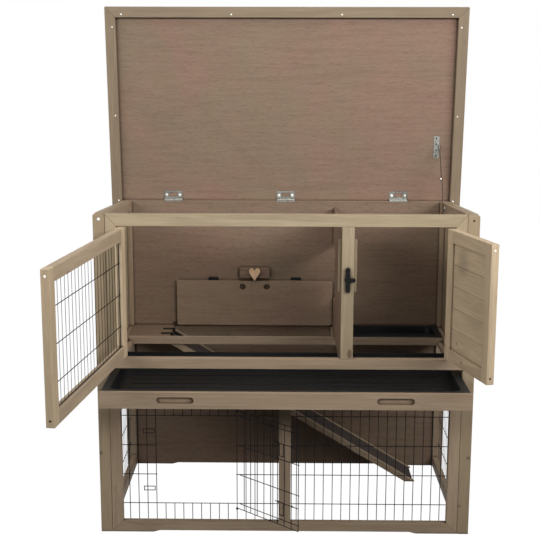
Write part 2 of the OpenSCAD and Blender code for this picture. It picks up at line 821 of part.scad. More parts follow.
module run_right_mesh() {
    piece(black_wire) {
        for (n = [0 : run_n]) wire_z(mesh_low, mesh_high, run_x(n), mesh_y);
        for (n = [0 : row_n]) wire_x(mesh_start_x, mesh_end_x, mesh_row_y, wire_row_z + n * wire_row);
    }
}
module run_left_mesh() {
    door_to = door_from + door_cells;
    hinge_side = wire_hinge_x - wire_d;
    jamb_side = wire_jamb_x + wire_d;
    piece(black_wire) {
        union() {
            for (n = [0 : door_from]) wire_z(mesh_low, mesh_high, -run_x(n), mesh_y);
            for (n = [0 : row_n]) wire_x(hinge_side, -mesh_start_x, mesh_row_y, wire_row_z + n * wire_row);
        }
        union() {
            for (n = [door_to : run_n]) wire_z(mesh_low, mesh_high, -run_x(n), mesh_y);
            for (n = [0 : row_n]) wire_x(-mesh_end_x, jamb_side, mesh_row_y, wire_row_z + n * wire_row);
        }
        union() {
            for (n = [door_from + 1 : door_to - 1])
                wire_z(mesh_low, wire_row_z + wire_r, -run_x(n), mesh_y);
            wire_x(jamb_side + fit_gap, hinge_side - fit_gap, mesh_row_y, wire_row_z);
        }
        union() {
            for (n = [door_from + 1 : door_to - 1])
                wire_z(opening_top - wire_r, mesh_high, -run_x(n), mesh_y);
            wire_x(jamb_side + fit_gap, hinge_side - fit_gap, mesh_row_y, opening_top);
        }
    }
}
module bolt_keepers() {
    stub_x = wire_jamb_x - wire_pitch;
    piece(black_wire) for (z = [upper_bolt_z, lower_bolt_z]) {
        for (side = [-1, 1]) {
            wire_x(keeper_end_x - keeper_w, keeper_end_x, keeper_y, z + side * keeper_h / 2);
            wire_y(keeper_y, mesh_y - wire_r, stub_x, z + side * keeper_h / 2);
        }
        for (x = [keeper_end_x - keeper_w, keeper_end_x])
            wire_z(z - keeper_h / 2 - wire_r, z + keeper_h / 2 + wire_r, x, keeper_y);
    }
}

// Wire door and its bolts, drawn closed and then swung open

module wire_door() {
    row_from = wire_jamb_x - wire_r;
    row_to = wire_hinge_x - eye_r * 2;
    piece(black_wire) on_wire_door() difference() {
        union() {
            for (n = [1 : door_cells])
                wire_z(wire_door_low, wire_door_high, wire_hinge_x - n * wire_pitch, wire_door_y);
            for (n = [0 : 3])
                wire_x(row_from, row_to, wire_door_y - weld_step, wire_row_z + n * wire_row);
            for (z = [wire_door_low, wire_door_high]) {
                wire_x(row_from, wire_hinge_x, wire_door_y, z);
                translate([wire_hinge_x, mesh_y, z - eye_h / 2]) cylinder(h = eye_h, r = eye_r, $fn = 32);
            }
            for (x = guide_xs, z = [upper_bolt_z, lower_bolt_z])
                translate([x - guide_l / 2, bolt_y, z]) rotate([0, 90, 0])
                    cylinder(h = guide_l, r = guide_r, $fn = 32);
        }
        translate([wire_hinge_x, mesh_y, 0]) cylinder(h = run_h, r = wire_r + pin_gap, $fn = 32);
        for (z = [upper_bolt_z, lower_bolt_z])
            translate([wire_jamb_x - wire_pitch, bolt_y, z]) rotate([0, 90, 0])
                cylinder(h = wire_pitch * 6, r = bolt_r + pin_gap, $fn = 32);
    }
}
module bolt(z) {
    piece(black_wire) on_wire_door() translate([0, bolt_y, z]) {
        translate([bolt_tip_x, 0, 0]) rotate([0, 90, 0])
            cylinder(h = bolt_end_x - bolt_tip_x, r = bolt_r, $fn = 32);
        for (x = [loop_end_x - bolt_loop, loop_end_x])
            translate([x, 0, -bolt_drop]) cylinder(h = bolt_drop, r = bolt_r, $fn = 32);
        translate([loop_end_x - bolt_loop - bolt_r, 0, -bolt_drop]) rotate([0, 90, 0])
            cylinder(h = bolt_loop + bolt_d, r = bolt_r, $fn = 32);
    }
}
module upper_bolt() { bolt(upper_bolt_z); }
module lower_bolt() { bolt(lower_bolt_z); }

// Drawer

module drawer_runners() {
    piece(frame_wood) both_sides()
        translate([in_x - runner_w, post_d, runner_z - runner_h])
            cube([runner_w, floor_front - post_d, runner_h]);
}
module drawer_front() {
    piece(frame_wood) on_drawer() difference() {
        translate([-drawer_half, 0, drawer_z]) cube([2 * drawer_half, drawer_t, drawer_h]);
        for (side = [-1, 1])
            translate([side * handle_x, -cut, drawer_z + drawer_h / 2])
                upright(handle_depth + cut) slot_shape(handle_l, handle_h);
    }
}
module drawer_tray() {
    d = tray_back - drawer_t;
    piece(black_plastic) on_drawer() {
        translate([0, drawer_t + d / 2, rim_z]) moulded_tray(2 * rim_half, d, tray_depth, tray_rim, rib_n);
        translate([-rim_half, tray_back - tray_wall, rim_z - cut])
            cube([2 * rim_half, tray_wall, tray_lip + cut]);
    }
}

// Flap over the ramp hole, and the heart that holds it up

module flap() {
    piece(ply_wood) {
        difference() {
            union() {
                translate([flap_from, flap_pin_y - ply_t / 2, flap_pin_z])
                    cube([flap_to - flap_from, ply_t, flap_top - flap_pin_z]);
                translate([flap_from, flap_pin_y, flap_pin_z]) rotate([0, 90, 0])
                    cylinder(h = flap_to - flap_from, r = ply_t / 2, $fn = 48);
            }
            for (side = [-1, 1])
                translate([flap_mid + side * finger_gap / 2, flap_pin_y, flap_top - finger_drop])
                    rotate([90, 0, 0]) cylinder(h = ply_t * 2, r = finger_d / 2, center = true, $fn = 48);
        }
        for (x = [flap_from - flap_pin_l - seat_gap, flap_to + seat_gap])
            translate([x, flap_pin_y, flap_pin_z]) rotate([0, 90, 0])
                cylinder(h = flap_pin_l, r = flap_pin_r, $fn = 32);
    }
}
module flap_bracket(foot) {
    wall = back_in - flap_pin_y;
    low = floor_z - flap_pin_z;
    h = flap_pin_z - floor_z + flap_pin_r * 2.5;
    difference() {
        union() {
            translate([0, -bracket_w / 2, low]) cube([bracket_t, wall + bracket_w / 2, h]);
            if (foot > 0) translate([-foot, wall - bracket_t, low]) cube([foot + cut, bracket_t, h]);
        }
        translate([-cut, 0, 0]) rotate([0, 90, 0])
            cylinder(h = bracket_t + 2 * cut, r = flap_pin_r + pin_gap, $fn = 32);
    }
}
module flap_brackets() {
    piece(inner_wood) translate([0, flap_pin_y, flap_pin_z]) {
        translate([flap_from - bracket_t - fit_gap, 0, 0]) flap_bracket(bracket_w);
        translate([flap_to + bracket_t + fit_gap, 0, 0]) mirror([1, 0, 0]) flap_bracket(0);
    }
}
module flap_clips() {
    piece(black_plastic) for (side = [-1, 1])
        translate([flap_mid + side * clip_gap / 2, back_in - clip_t, flap_top - clip_h / 4])
            upright(clip_t) translate([0, clip_h / 2]) round_rect(clip_w, clip_h, clip_round);
}
module catch_block() {
    piece(ply_wood) {
        translate([flap_mid - block_w / 2, block_front, block_z])
            cube([block_w, back_in - block_front, block_h]);
        translate([flap_mid, block_front + cut, heart_pin_z]) rotate([90, 0, 0])
            cylinder(h = dowel_l + cut, r = dowel_r, $fn = 32);
    }
}
module heart() {
    flank_x = heart_r * (1 + cos(heart_flank));
    flank_z = heart_lobe_z - heart_r * sin(heart_flank);
    piece(heart_wood) translate([flap_mid, block_front - fit_gap, 0]) difference() {
        translate([0, -heart_t, 0]) upright(heart_t) {
            for (side = [-1, 1]) translate([side * heart_r, heart_lobe_z]) circle(heart_r, $fn = 48);
            polygon([
                [-flank_x, flank_z], [0, heart_tip_z], [flank_x, flank_z],
                [heart_r, heart_lobe_z], [0, heart_lobe_z + heart_notch], [-heart_r, heart_lobe_z]
            ]);
        }
        translate([0, cut, heart_pin_z]) rotate([90, 0, 0])
            cylinder(h = dowel_l + cut, r = dowel_r + pin_gap, $fn = 32);
    }
}

// Turn latch on the centre post

module latch_plate() {
    piece(black_plastic) translate([centre_x, 0, latch_z]) rotate([90, 0, 0]) {
        cylinder(h = latch_plate_t, r = latch_plate_r, $fn = 48);
        cylinder(h = latch_plate_t + latch_bar_t + fit_gap, r = latch_pin_r, $fn = 32);
    }
}
module latch_bar() {
    bar_r = latch_bar_w / 2;
    piece(black_plastic) translate([centre_x, -latch_plate_t - fit_gap - latch_bar_t, latch_z])
        upright(latch_bar_t) difference() {
            union() {
                rotate(90) slot_shape(latch_bar_l, latch_bar_w);
                translate([0, -bar_r / 2]) square([lever_l - lever_end_r, bar_r]);
                translate([lever_l - lever_end_r, 0]) circle(lever_end_r, $fn = 48);
            }
            circle(latch_pin_r + pin_gap, $fn = 32);
        }
}

// Lid, drawn closed and level on its hinge axis, then turned up

module lid_panel() {
    piece(ply_wood) on_lid() difference() {
        translate([-lid_w / 2, -lid_l, lid_under]) cube([lid_w, lid_l + lid_back, lid_t]);
        for (n = [-1 : 1])
            translate([n * lid_hinge_gap - lid_hinge_l / 2 - cut, 0, 0]) rotate([0, 90, 0])
                cylinder(h = lid_hinge_l + 2 * cut, r = barrel_r + slide_gap, $fn = 32);
    }
}
module lid_front_batten() {
    piece(frame_wood) on_lid() translate([0, -lid_l, lid_under - batten_t]) linear_extrude(batten_t)
        mitred_rail(lid_w / 2, batten_w, batten_w);
}
module lid_side_battens() {
    piece(frame_wood) on_lid() both_sides() translate([0, 0, lid_under - batten_t]) linear_extrude(batten_t)
        polygon([
            [lid_w / 2, -lid_l], [lid_w / 2, lid_back],
            [lid_w / 2 - batten_w, lid_back], [lid_w / 2 - batten_w, batten_w - lid_l]
        ]);
}
module roof_felt() {
    piece(felt) on_lid() translate([-lid_w / 2, -lid_l, lid_under + lid_t])
        cube([lid_w, lid_l + lid_back, felt_t]);
}
module lid_screw(x, s) {
    translate([x, -s, lid_under - batten_t - screw_head_t])
        cylinder(h = screw_head_t, r1 = screw_head_r * 0.7, r2 = screw_head_r, $fn = 32);
}
module lid_screws() {
    inset = 10;
    front_span = lid_w - 2 * batten_w - 4 * inset;
    side_span = lid_l - batten_w - 3 * inset;
    piece(zinc) on_lid() {
        for (n = [0 : 3]) lid_screw((n / 3 - 0.5) * front_span, lid_l - batten_w + inset);
        both_sides() for (n = [0 : 2]) lid_screw(lid_w / 2 - batten_w + inset, n / 2 * side_span);
    }
}
// A hinge's barrel laid along X and centred, its leaf towards -Y
module along_x(l) {
    translate([l / 2, 0, 0]) rotate([0, -90, 0]) rotate([0, 0, 180]) children();
}
module lid_hinge_leaves() {
    piece(zinc) on_lid() for (n = [-1 : 1]) translate([n * lid_hinge_gap, 0, 0]) difference() {
        along_x(lid_hinge_l) mirror([1, 0, 0])
            hinge_half(lid_hinge_l, lid_leaf_w, lid_leaf_t, lid_leaf_gap, 1, false);
        translate([-hinge_window_w / 2, -lid_leaf_w + hinge_border, lid_leaf_gap - cut])
            cube([hinge_window_w, lid_leaf_w - barrel_r - 2.5 * hinge_border, lid_leaf_t + 2 * cut]);
    }
}
module lid_hinge_frame_leaves() {
    piece(zinc) translate([0, lid_axis_y, lid_axis_z]) for (n = [-1 : 1]) translate([n * lid_hinge_gap, 0, 0])
        along_x(lid_hinge_l) hinge_half(lid_hinge_l, lid_leaf_w, lid_leaf_t, lid_leaf_gap, 0, true);
}

// Lid stay: two flat arms between the lid and the right side wall

module stay_pin(l, r) {
    rotate([0, 90, 0]) cylinder(h = l, r = r, $fn = 32);
}
module stay_lid_plate() {
    lug_x = stay_x - stay_t - fit_gap / 2;
    piece(zinc) on_lid() {
        translate([lug_x + stay_t - stay_plate_w, -stay_lid_s - stay_plate_l / 2, lid_under - stay_t])
            cube([stay_plate_w, stay_plate_l, stay_t]);
        translate([lug_x, -stay_lid_s - stay_lug_w / 2, stay_lid_n - stay_arm_w / 2])
            cube([stay_t, stay_lug_w, lid_under - stay_lid_n + stay_arm_w / 2]);
        translate([lug_x, -stay_lid_s, stay_lid_n]) stay_pin(2 * stay_t + fit_gap / 2, stay_pin_r);
    }
}
// A flat arm between two points in Y and Z, with holes of the given radii at its ends
module stay_link(a, b, hole_a, hole_b) {
    sideways(stay_t) translate(a) rotate(atan2(b[1] - a[1], b[0] - a[0])) difference() {
        translate([norm(b - a) / 2, 0]) slot_shape(norm(b - a) + stay_arm_w, stay_arm_w);
        circle(hole_a, $fn = 32);
        if (hole_b > 0) translate([norm(b - a), 0]) circle(hole_b, $fn = 32);
    }
}
module stay_upper_arm() {
    piece(zinc) translate([stay_x, 0, 0]) {
        stay_link(stay_lid_pivot, stay_elbow, stay_pin_r + pin_gap, 0);
        translate([0, stay_elbow[0], stay_elbow[1]]) intersection() {
            rotate([0, 90, 0]) sphere(stay_rivet_r, $fn = 48);
            translate(stay_rivet_r * [-2, -2, -2])
                cube([2 * stay_rivet_r + stay_t / 2, 4 * stay_rivet_r, 4 * stay_rivet_r]);
        }
    }
}
module stay_lower_arm() {
    piece(zinc) translate([stay_x + stay_t + fit_gap, 0, 0])
        stay_link(stay_root_pivot, stay_elbow, stay_pin_r + pin_gap, stay_pin_r + pin_gap);
}
module stay_side_bracket() {
    lower_x = stay_x + stay_t + fit_gap;
    piece(zinc) {
        translate([in_x - stay_t, stay_root_y - stay_arm_w, stay_root_z - stay_arm_w / 2])
            cube([stay_t, 2 * stay_arm_w, stay_root_drop + stay_arm_w / 2]);
        translate([lower_x, stay_root_y, stay_root_z]) stay_pin(in_x - stay_t - lower_x, stay_pin_r);
    }
}

// Front doors, drawn closed from their hinge axis and then swung open

module door_stiles(w) {
    edge = hinge_gap / 2;
    for (x = [edge, w - door_stock_w])
        translate([x, hinge_out, door_low]) cube([door_stock_w, door_t, door_h]);
}
module door_rails(w) {
    edge = hinge_gap / 2;
    for (z = [door_low, door_high - door_stock_w])
        translate([edge + door_stock_w, hinge_out, z])
            cube([w - edge - 2 * door_stock_w, door_t, door_stock_w]);
}
module door_hinges(first, pinned) {
    for (z = [door_low + hinge_inset, door_high - hinge_inset])
        translate([0, 0, z - door_hinge_l / 2])
            hinge_half(door_hinge_l, door_hinge_w, door_hinge_t, door_hinge_half_gap, first, pinned);
}
module left_door_stiles() { piece(frame_wood) on_left_door() door_stiles(left_door_w); }
module left_door_rails() { piece(frame_wood) on_left_door() door_rails(left_door_w); }
module left_door_hinges() { piece(zinc) on_left_door() door_hinges(1, false); }
module right_door_stiles() { piece(frame_wood) on_right_door() door_stiles(right_door_w); }
module right_door_rails() { piece(frame_wood) on_right_door() door_rails(right_door_w); }
module right_door_hinges() { piece(zinc) on_right_door() door_hinges(1, false); }
module door_hinge_frame_leaves() {
    piece(zinc) both_sides() translate([-hinge_x, -hinge_out, 0]) mirror([1, 0, 0]) door_hinges(0, true);
}
module left_door_mesh() {
    from_x = hinge_gap / 2 + door_stock_w;
    to_x = left_door_w - door_stock_w;
    from_z = door_low + door_stock_w;
    to_z = door_high - door_stock_w;
    columns = floor((to_x - from_x) / wire_pitch);
    first_x = (from_x + to_x - (columns - 1) * wire_pitch) / 2;
    wire_y_mid = hinge_out + door_t / 2;
    piece(black_wire) on_left_door() {
        for (n = [0 : columns - 1]) wire_z(from_z, to_z, first_x + n * wire_pitch, wire_y_mid);
        for (n = [-1 : 1]) wire_x(from_x, to_x, wire_y_mid + weld_step, (from_z + to_z) / 2 + n * wire_row);
    }
}
module right_door_boards() {
    from_x = hinge_gap / 2 + door_stock_w;
    clear_w = right_door_w - door_stock_w - from_x;
    clear_h = door_h - 2 * door_stock_w;
    board_h = clear_h / board_n;
    piece(frame_wood) on_right_door() for (n = [0 : board_n - 1])
        translate([from_x, hinge_out + (door_t - door_board_t) / 2, door_low + door_stock_w + n * board_h])
            sideways(clear_w) board_profile(board_h - board_gap);
}
// A board's cross-section: a bevelled groove on each face along its upper edge
module board_profile(h) {
    top = h - board_groove;
    polygon([
        [0, 0], [door_board_t, 0], [door_board_t, top], [door_board_t - board_groove, h],
        [board_groove, h], [0, top]
    ]);
}

upper_top_rail();
upper_bottom_rail();
upper_stiles();
upper_centre_post();
door_stop();
lower_top_rail();
lower_bottom_rail();
lower_stiles();
lower_centre_post();
front_posts();
back_posts();
side_boards();
side_rails();
side_mesh();
back_panel();
back_rails();
partition();
floor_rails();
floor_board();
rear_tray();
ramp_board();
ramp_side_rails();
ramp_grip();
ramp_hooks();
drawer_runners();
run_left_mesh();
run_right_mesh();
bolt_keepers();
catch_block();
flap_brackets();
flap_clips();
latch_plate();
lid_hinge_frame_leaves();
door_hinge_frame_leaves();
stay_side_bracket();
lid_panel();
lid_front_batten();
lid_side_battens();
roof_felt();
lid_screws();
lid_hinge_leaves();
stay_lid_plate();
stay_upper_arm();
stay_lower_arm();
left_door_stiles();
left_door_rails();
left_door_mesh();
left_door_hinges();
right_door_stiles();
right_door_rails();
right_door_boards();
right_door_hinges();
latch_bar();
drawer_front();
drawer_tray();
wire_door();
upper_bolt();
lower_bolt();
flap();
heart();
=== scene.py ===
# %% [markdown]
# A two-storey small animal hutch, dressed for rendering.
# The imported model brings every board, wire and hinge in its place. This lesson gives them the finish of
# the real hutch: softened edges, stained timber, plywood, moulded trays, coated wire and zinc-plated
# fittings. Sizes are in metres and the frame is the model's own: X to the right, Y to the back and Z
# up.

# %% Load the hutch
import json
import math

import bmesh
import bpy
from mathutils import Matrix, Vector


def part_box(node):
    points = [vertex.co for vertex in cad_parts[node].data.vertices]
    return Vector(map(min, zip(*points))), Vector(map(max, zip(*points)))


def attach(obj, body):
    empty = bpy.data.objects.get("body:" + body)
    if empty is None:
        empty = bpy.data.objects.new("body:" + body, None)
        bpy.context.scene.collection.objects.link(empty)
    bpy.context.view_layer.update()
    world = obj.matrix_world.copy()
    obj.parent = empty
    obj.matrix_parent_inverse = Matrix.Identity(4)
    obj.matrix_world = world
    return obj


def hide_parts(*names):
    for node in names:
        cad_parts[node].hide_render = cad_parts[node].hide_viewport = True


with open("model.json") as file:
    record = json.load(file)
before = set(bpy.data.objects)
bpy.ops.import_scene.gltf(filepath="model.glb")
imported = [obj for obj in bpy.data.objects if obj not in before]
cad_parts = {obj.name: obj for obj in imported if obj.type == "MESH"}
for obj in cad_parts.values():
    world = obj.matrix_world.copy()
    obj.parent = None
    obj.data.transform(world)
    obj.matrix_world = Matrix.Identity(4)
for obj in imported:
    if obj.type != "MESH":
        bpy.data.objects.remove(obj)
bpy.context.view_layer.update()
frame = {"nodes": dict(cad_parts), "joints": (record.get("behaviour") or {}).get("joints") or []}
nodes = frame["nodes"]
MM = 0.001

# %% [markdown]
# The doors and the lid stand at an angle, so anything placed on them needs their directions. They could
# be typed in as numbers, but the model already knows them: a door's closed place is the end of its
# range, so turning the closed direction back by that range gives the direction at rest, and a panel
# faces the way its largest face does.

# %% Directions of the doors and of the lid
joints = {joint["name"]: joint for joint in frame["joints"]}
ALONG_X, ALONG_Y, ALONG_Z = Vector((1, 0, 0)), Vector((0, 1, 0)), Vector((0, 0, 1))


def turned_back(joint_name, end, closed_direction):
    """The direction at rest of a door that points along closed_direction at that end of its range."""
    joint = joints[joint_name]
    angle = math.radians(joint["range_deg"][end])
    return Matrix.Rotation(-angle, 3, Vector(joint["axis"])) @ closed_direction


def panel_facing(name):
    """The direction a panel faces: the normal of its largest face, taken towards the front."""
    face = max(nodes[name].data.polygons, key=lambda polygon: polygon.area)
    normal = nodes[name].matrix_world.to_3x3() @ face.normal
    return normal if normal.y < 0 else -normal


def reach(name, direction):
    """How far a node's points reach along a direction, least and greatest."""
    spots = [(nodes[name].matrix_world @ vertex.co).dot(direction) for vertex in nodes[name].data.vertices]
    return min(spots), max(spots)


def laid_on(spot, facing, level):
    """The spot moved along facing until it lies at that level."""
    return spot + facing * (level - spot.dot(facing))


left_door_across = turned_back("left_door_hinge", 1, ALONG_X)
right_door_across = turned_back("right_door_hinge", 0, -ALONG_X)
lid_axis = Vector(joints["lid_hinge"]["pos_m"])
lid_face = panel_facing("lid_panel")
lid_up = lid_face.cross(ALONG_X)
ramp_down = panel_facing("ramp_side_rails").cross(ALONG_Y)
print("the lid faces", tuple(round(c, 3) for c in lid_face))

# %% [markdown]
# Colours are written as the eye reads them, in sRGB hex, and Blender's shaders want linear light. One
# function converts them. Another adds a shader node with its settings and links in one call, which
# keeps each material below as short as the finish it describes. Pattern sizes are given in millimetres,
# and a third function turns them into the scale that a Mapping node wants.

# %% Colour and node helpers
def linear(colour):
    """An sRGB hex colour as linear red, green, blue and alpha."""
    shares = [int(colour[i:i + 2], 16) / 255 for i in (1, 3, 5)]
    return [s / 12.92 if s <= 0.04045 else ((s + 0.055) / 1.055) ** 2.4 for s in shares] + [1]


def per_mm(*sizes):
    """The scale at which a pattern repeats once over each of the given sizes."""
    return [1 / (size * MM) for size in sizes]


def add(tree, kind, inputs=None, **settings):
    """Adds a shader node. An input, by name or place, takes a value, a socket or a node's first output."""
    node = tree.nodes.new("ShaderNode" + kind)
    for name, value in settings.items():
        setattr(node, name, value)
    for key, value in (inputs or {}).items():
        socket = next(s for i, s in enumerate(node.inputs) if s.enabled and key in (i, s.name))
        if isinstance(value, bpy.types.Node):
            value = next(s for s in value.outputs if s.enabled)
        if isinstance(value, bpy.types.NodeSocket):
            tree.links.new(value, socket)
        else:
            socket.default_value = value
    return node


def new_material(name):
    """An empty material and its node tree."""
    material = bpy.data.materials.new(name)
    material.use_nodes = True
    material.node_tree.nodes.clear()
    return material, material.node_tree


print("helpers ready")

# %% [markdown]
# The frame is planed fir with a grey-brown water-based stain. The stain leaves the pale early wood
# lighter than the late wood, so the eye sees soft streaks along each board, fine fibres between them,
# and a few knots. Close to joints and in recesses the colour is darker: this is painted shade from an
# ambient occlusion node, with some stain gathering in the joints. The stain dries matt, so there is
# little gloss. An image could show that, but a board's own coordinates can do it without one: noise
# that is stretched along the grain, with every board (mesh island) shifted to another part of the tree.
# Some knots of the posts and of the right door are plain to see on the real hutch, so those boards take
# a list of marks at places of their own.

# %% Stained fir
# Metres by which one board's pattern may lie apart from another's
BOARD_SHIFT = (7.3, 3.1, 5.7)
# Distance from a joint or recess within which painted shade darkens the colour
SHADE_REACH = 12 * MM


def grain_place(tree, along, own_random):
    """Object coordinates turned so that X follows the grain, and moved to another spot for each board."""
    place = add(tree, "TexCoord").outputs["Object"]
    turn = along.rotation_difference(ALONG_X).to_euler()
    turned = add(tree, "Mapping", {"Vector": place, "Rotation": turn})
    shift = add(tree, "VectorMath", {0: BOARD_SHIFT, "Scale": own_random}, operation="SCALE")
    return add(tree, "VectorMath", {0: turned, 1: shift}, operation="ADD")


def joint_and_recess_shade(tree, colour, shade_colour):
    """The colour, darker near joints and in recesses: painted shade from ambient occlusion, plus stain in
    joints.
    """
    near = add(tree, "AmbientOcclusion", {"Distance": SHADE_REACH}, samples=8).outputs["AO"]
    share = add(tree, "MapRange", {"Value": near, "From Min": 0.3, "From Max": 0.88,
                                   "To Min": 0.95, "To Max": 0})
    return add(tree, "Mix", {"Factor": share, "A": colour, "B": linear(shade_colour)}, data_type="RGBA")


def stained_fir(name, pale, deep, along, knot_reach, marks=()):
    """Planed fir under a grey-brown stain: streaks 14 mm wide, fibres 2.5 mm wide and a few knots.

    Each mark is a knot or stain at a place of its own: its place, radius in mm, colour and strength.
    """
    material, tree = new_material(name)
    board = add(tree, "NewGeometry").outputs["Random Per Island"]
    grain = grain_place(tree, along, board)
    streak_place = add(tree, "Mapping", {"Vector": grain, "Scale": per_mm(420, 14, 14)})
    streaks = add(tree, "TexNoise", {"Vector": streak_place, "Scale": 1, "Detail": 3, "Distortion": 0.5})
    fibre_place = add(tree, "Mapping", {"Vector": grain, "Scale": per_mm(70, 2.5, 2.5)})
    fibres = add(tree, "TexNoise", {"Vector": fibre_place, "Scale": 1, "Detail": 2})
    cloud_place = add(tree, "Mapping", {"Vector": grain, "Scale": per_mm(260, 120, 120)})
    clouds = add(tree, "TexNoise", {"Vector": cloud_place, "Scale": 1, "Detail": 2})
    knot_place = add(tree, "Mapping", {"Vector": grain, "Scale": per_mm(230, 120, 120)})
    knots = add(tree, "TexVoronoi", {"Vector": knot_place, "Scale": 1})
    streak_share = add(tree, "MapRange", {"Value": streaks, "From Min": 0.3, "From Max": 0.7})
    wood = add(tree, "Mix", {"Factor": streak_share, "A": linear(deep), "B": linear(pale)},
               data_type="RGBA")
    fibre_share = add(tree, "MapRange", {"Value": fibres, "From Min": 0.4, "From Max": 0.8, "To Max": 0.25})
    wood = add(tree, "Mix", {"Factor": fibre_share, "A": wood, "B": linear("#6B5A47")}, data_type="RGBA")
    cloud_share = add(tree, "MapRange", {"Value": clouds, "From Min": 0.4, "From Max": 0.75,
                                         "To Max": 0.28})
    wood = add(tree, "Mix", {"Factor": cloud_share, "A": wood, "B": linear("#5E4C3C")}, data_type="RGBA")
    # Boards differ a little, as timber from different trees takes the stain differently
    board_share = add(tree, "MapRange", {"Value": board, "To Max": 0.1})
    wood = add(tree, "Mix", {"Factor": board_share, "A": wood, "B": linear("#7A6956")}, data_type="RGBA")
    knot_share = add(tree, "MapRange", {"Value": knots, "From Min": knot_reach,
                                        "From Max": knot_reach * 1.8, "To Min": 0.7, "To Max": 0})
    wood = add(tree, "Mix", {"Factor": knot_share, "A": wood, "B": linear("#5B4330")}, data_type="RGBA")
    for spot, radius_mm, colour, strength in marks:
        place = add(tree, "TexCoord").outputs["Object"]
        away = add(tree, "VectorMath", {0: place, 1: spot}, operation="DISTANCE")
        mark_share = add(tree, "MapRange", {"Value": away, "From Min": radius_mm * MM * 0.4,
                                            "From Max": radius_mm * MM, "To Min": strength, "To Max": 0})
        wood = add(tree, "Mix", {"Factor": mark_share, "A": wood, "B": linear(colour)}, data_type="RGBA")
    # Painted shade: darker near joints and in recesses
    wood = joint_and_recess_shade(tree, wood, "#3A2D22")
    bump = add(tree, "Bump", {"Height": fibres, "Strength": 0.12, "Distance": 0.4 * MM})
    surface = add(tree, "BsdfPrincipled", {"Base Color": wood, "Roughness": 0.6,
                                           "Specular IOR Level": 0.2, "Normal": bump})
    add(tree, "OutputMaterial", {"Surface": surface})
    return material


# The paler and the deeper tone of each group of boards. They were matched group by group under these
# lamps, so they hold painted light and shade: the doors and their rails and the lower stiles are written
# lighter than the wood is, to make up for the shade on the doors and to stand in for stronger light on
# the lower stiles, and the lower boards are a little darker, partly as painted shade where the light
# falls off towards the ground and partly for other planks.
STAIN_AND_PAINTED_LIGHT = {
    "upper": ("#C2B193", "#B7A588"), "lower": ("#B7A289", "#AA937B"),
    "stile": ("#C6AF94", "#B89F85"), "post": ("#BBA78A", "#AF9A7D"),
    "door": ("#E5CEAB", "#D8C0A0"), "door_rail": ("#CDB79B", "#C1AA8F"),
    "lid": ("#9E8C76", "#91806A"),
}
# Knots reach over this share of the pattern's cells
TIMBER_KNOTS, POST_KNOTS, DOOR_KNOTS = 0.045, 0.03, 0.01
timber_made = {}


def timber(shade, along):
    """The stained fir of that group with its grain along that direction, made once for each."""
    key = (shade, tuple(round(c, 2) for c in along))
    if key not in timber_made:
        pale, deep = STAIN_AND_PAINTED_LIGHT[shade]
        name = f"stained_fir_{shade}_{len(timber_made)}"
        timber_made[key] = stained_fir(name, pale, deep, along, TIMBER_KNOTS)
    return timber_made[key]


print("timber ready")

# %% [markdown]
# The lid, the walls and the flap are thin tropical plywood. Its outer veneer is peeled from the log, so
# the eye sees short dark pores in level rows and broad clouds, some greyer and some pinker, where the
# stain sank in. It uses the same grain coordinates as the timber, with shorter and finer marks. A sheet
# is one object, so the object's own random number moves the pattern. The lid's sheet is pinker than the
# walls, and the flap is paler.

# %% Stained plywood
def stained_plywood(name, grey, pink, pore, along):
    """Rotary-cut plywood under a thin stain: pores 3 mm high and 20 mm long, clouds a hand wide."""
    material, tree = new_material(name)
    grain = grain_place(tree, along, add(tree, "ObjectInfo").outputs["Random"])
    cloud_place = add(tree, "Mapping", {"Vector": grain, "Scale": per_mm(210, 240, 240)})
    clouds = add(tree, "TexNoise", {"Vector": cloud_place, "Scale": 1, "Detail": 5, "Distortion": 0.8})
    band_place = add(tree, "Mapping", {"Vector": grain, "Scale": per_mm(130, 11, 11)})
    bands = add(tree, "TexNoise", {"Vector": band_place, "Scale": 1, "Detail": 4})
    pore_place = add(tree, "Mapping", {"Vector": grain, "Scale": per_mm(20, 3, 3)})
    pores = add(tree, "TexNoise", {"Vector": pore_place, "Scale": 1, "Detail": 3, "Roughness": 0.65})
    cloud_share = add(tree, "MapRange", {"Value": clouds, "From Min": 0.3, "From Max": 0.7})
    veneer = add(tree, "Mix", {"Factor": cloud_share, "A": linear(grey), "B": linear(pink)},
                 data_type="RGBA")
    band_share = add(tree, "MapRange", {"Value": bands, "From Min": 0.42, "From Max": 0.75, "To Max": 0.3})
    veneer = add(tree, "Mix", {"Factor": band_share, "A": veneer, "B": linear(pore)}, data_type="RGBA")
    pore_share = add(tree, "MapRange", {"Value": pores, "From Min": 0.48, "From Max": 0.72, "To Max": 0.5})
    veneer = add(tree, "Mix", {"Factor": pore_share, "A": veneer, "B": linear(pore)}, data_type="RGBA")
    # Painted shade: darker near joints and in recesses
    veneer = joint_and_recess_shade(tree, veneer, "#2A1F18")
    bump = add(tree, "Bump", {"Height": pores, "Strength": 0.1, "Distance": 0.3 * MM})
    surface = add(tree, "BsdfPrincipled", {"Base Color": veneer, "Roughness": 0.62,
                                           "Specular IOR Level": 0.1, "Normal": bump})
    add(tree, "OutputMaterial", {"Surface": surface})
    return material


lid_plywood = stained_plywood("stained_lid_plywood", "#8F7E6A", "#9B7C6D", "#6F5A4C", ALONG_X)
wall_plywood = stained_plywood("stained_wall_plywood", "#8C7B67", "#907666", "#655242", ALONG_X)
flap_plywood = stained_plywood("stained_flap_plywood", "#A08D76", "#A58776", "#765F4D", ALONG_X)
print("plywood:", lid_plywood.name, wall_plywood.name, flap_plywood.name)
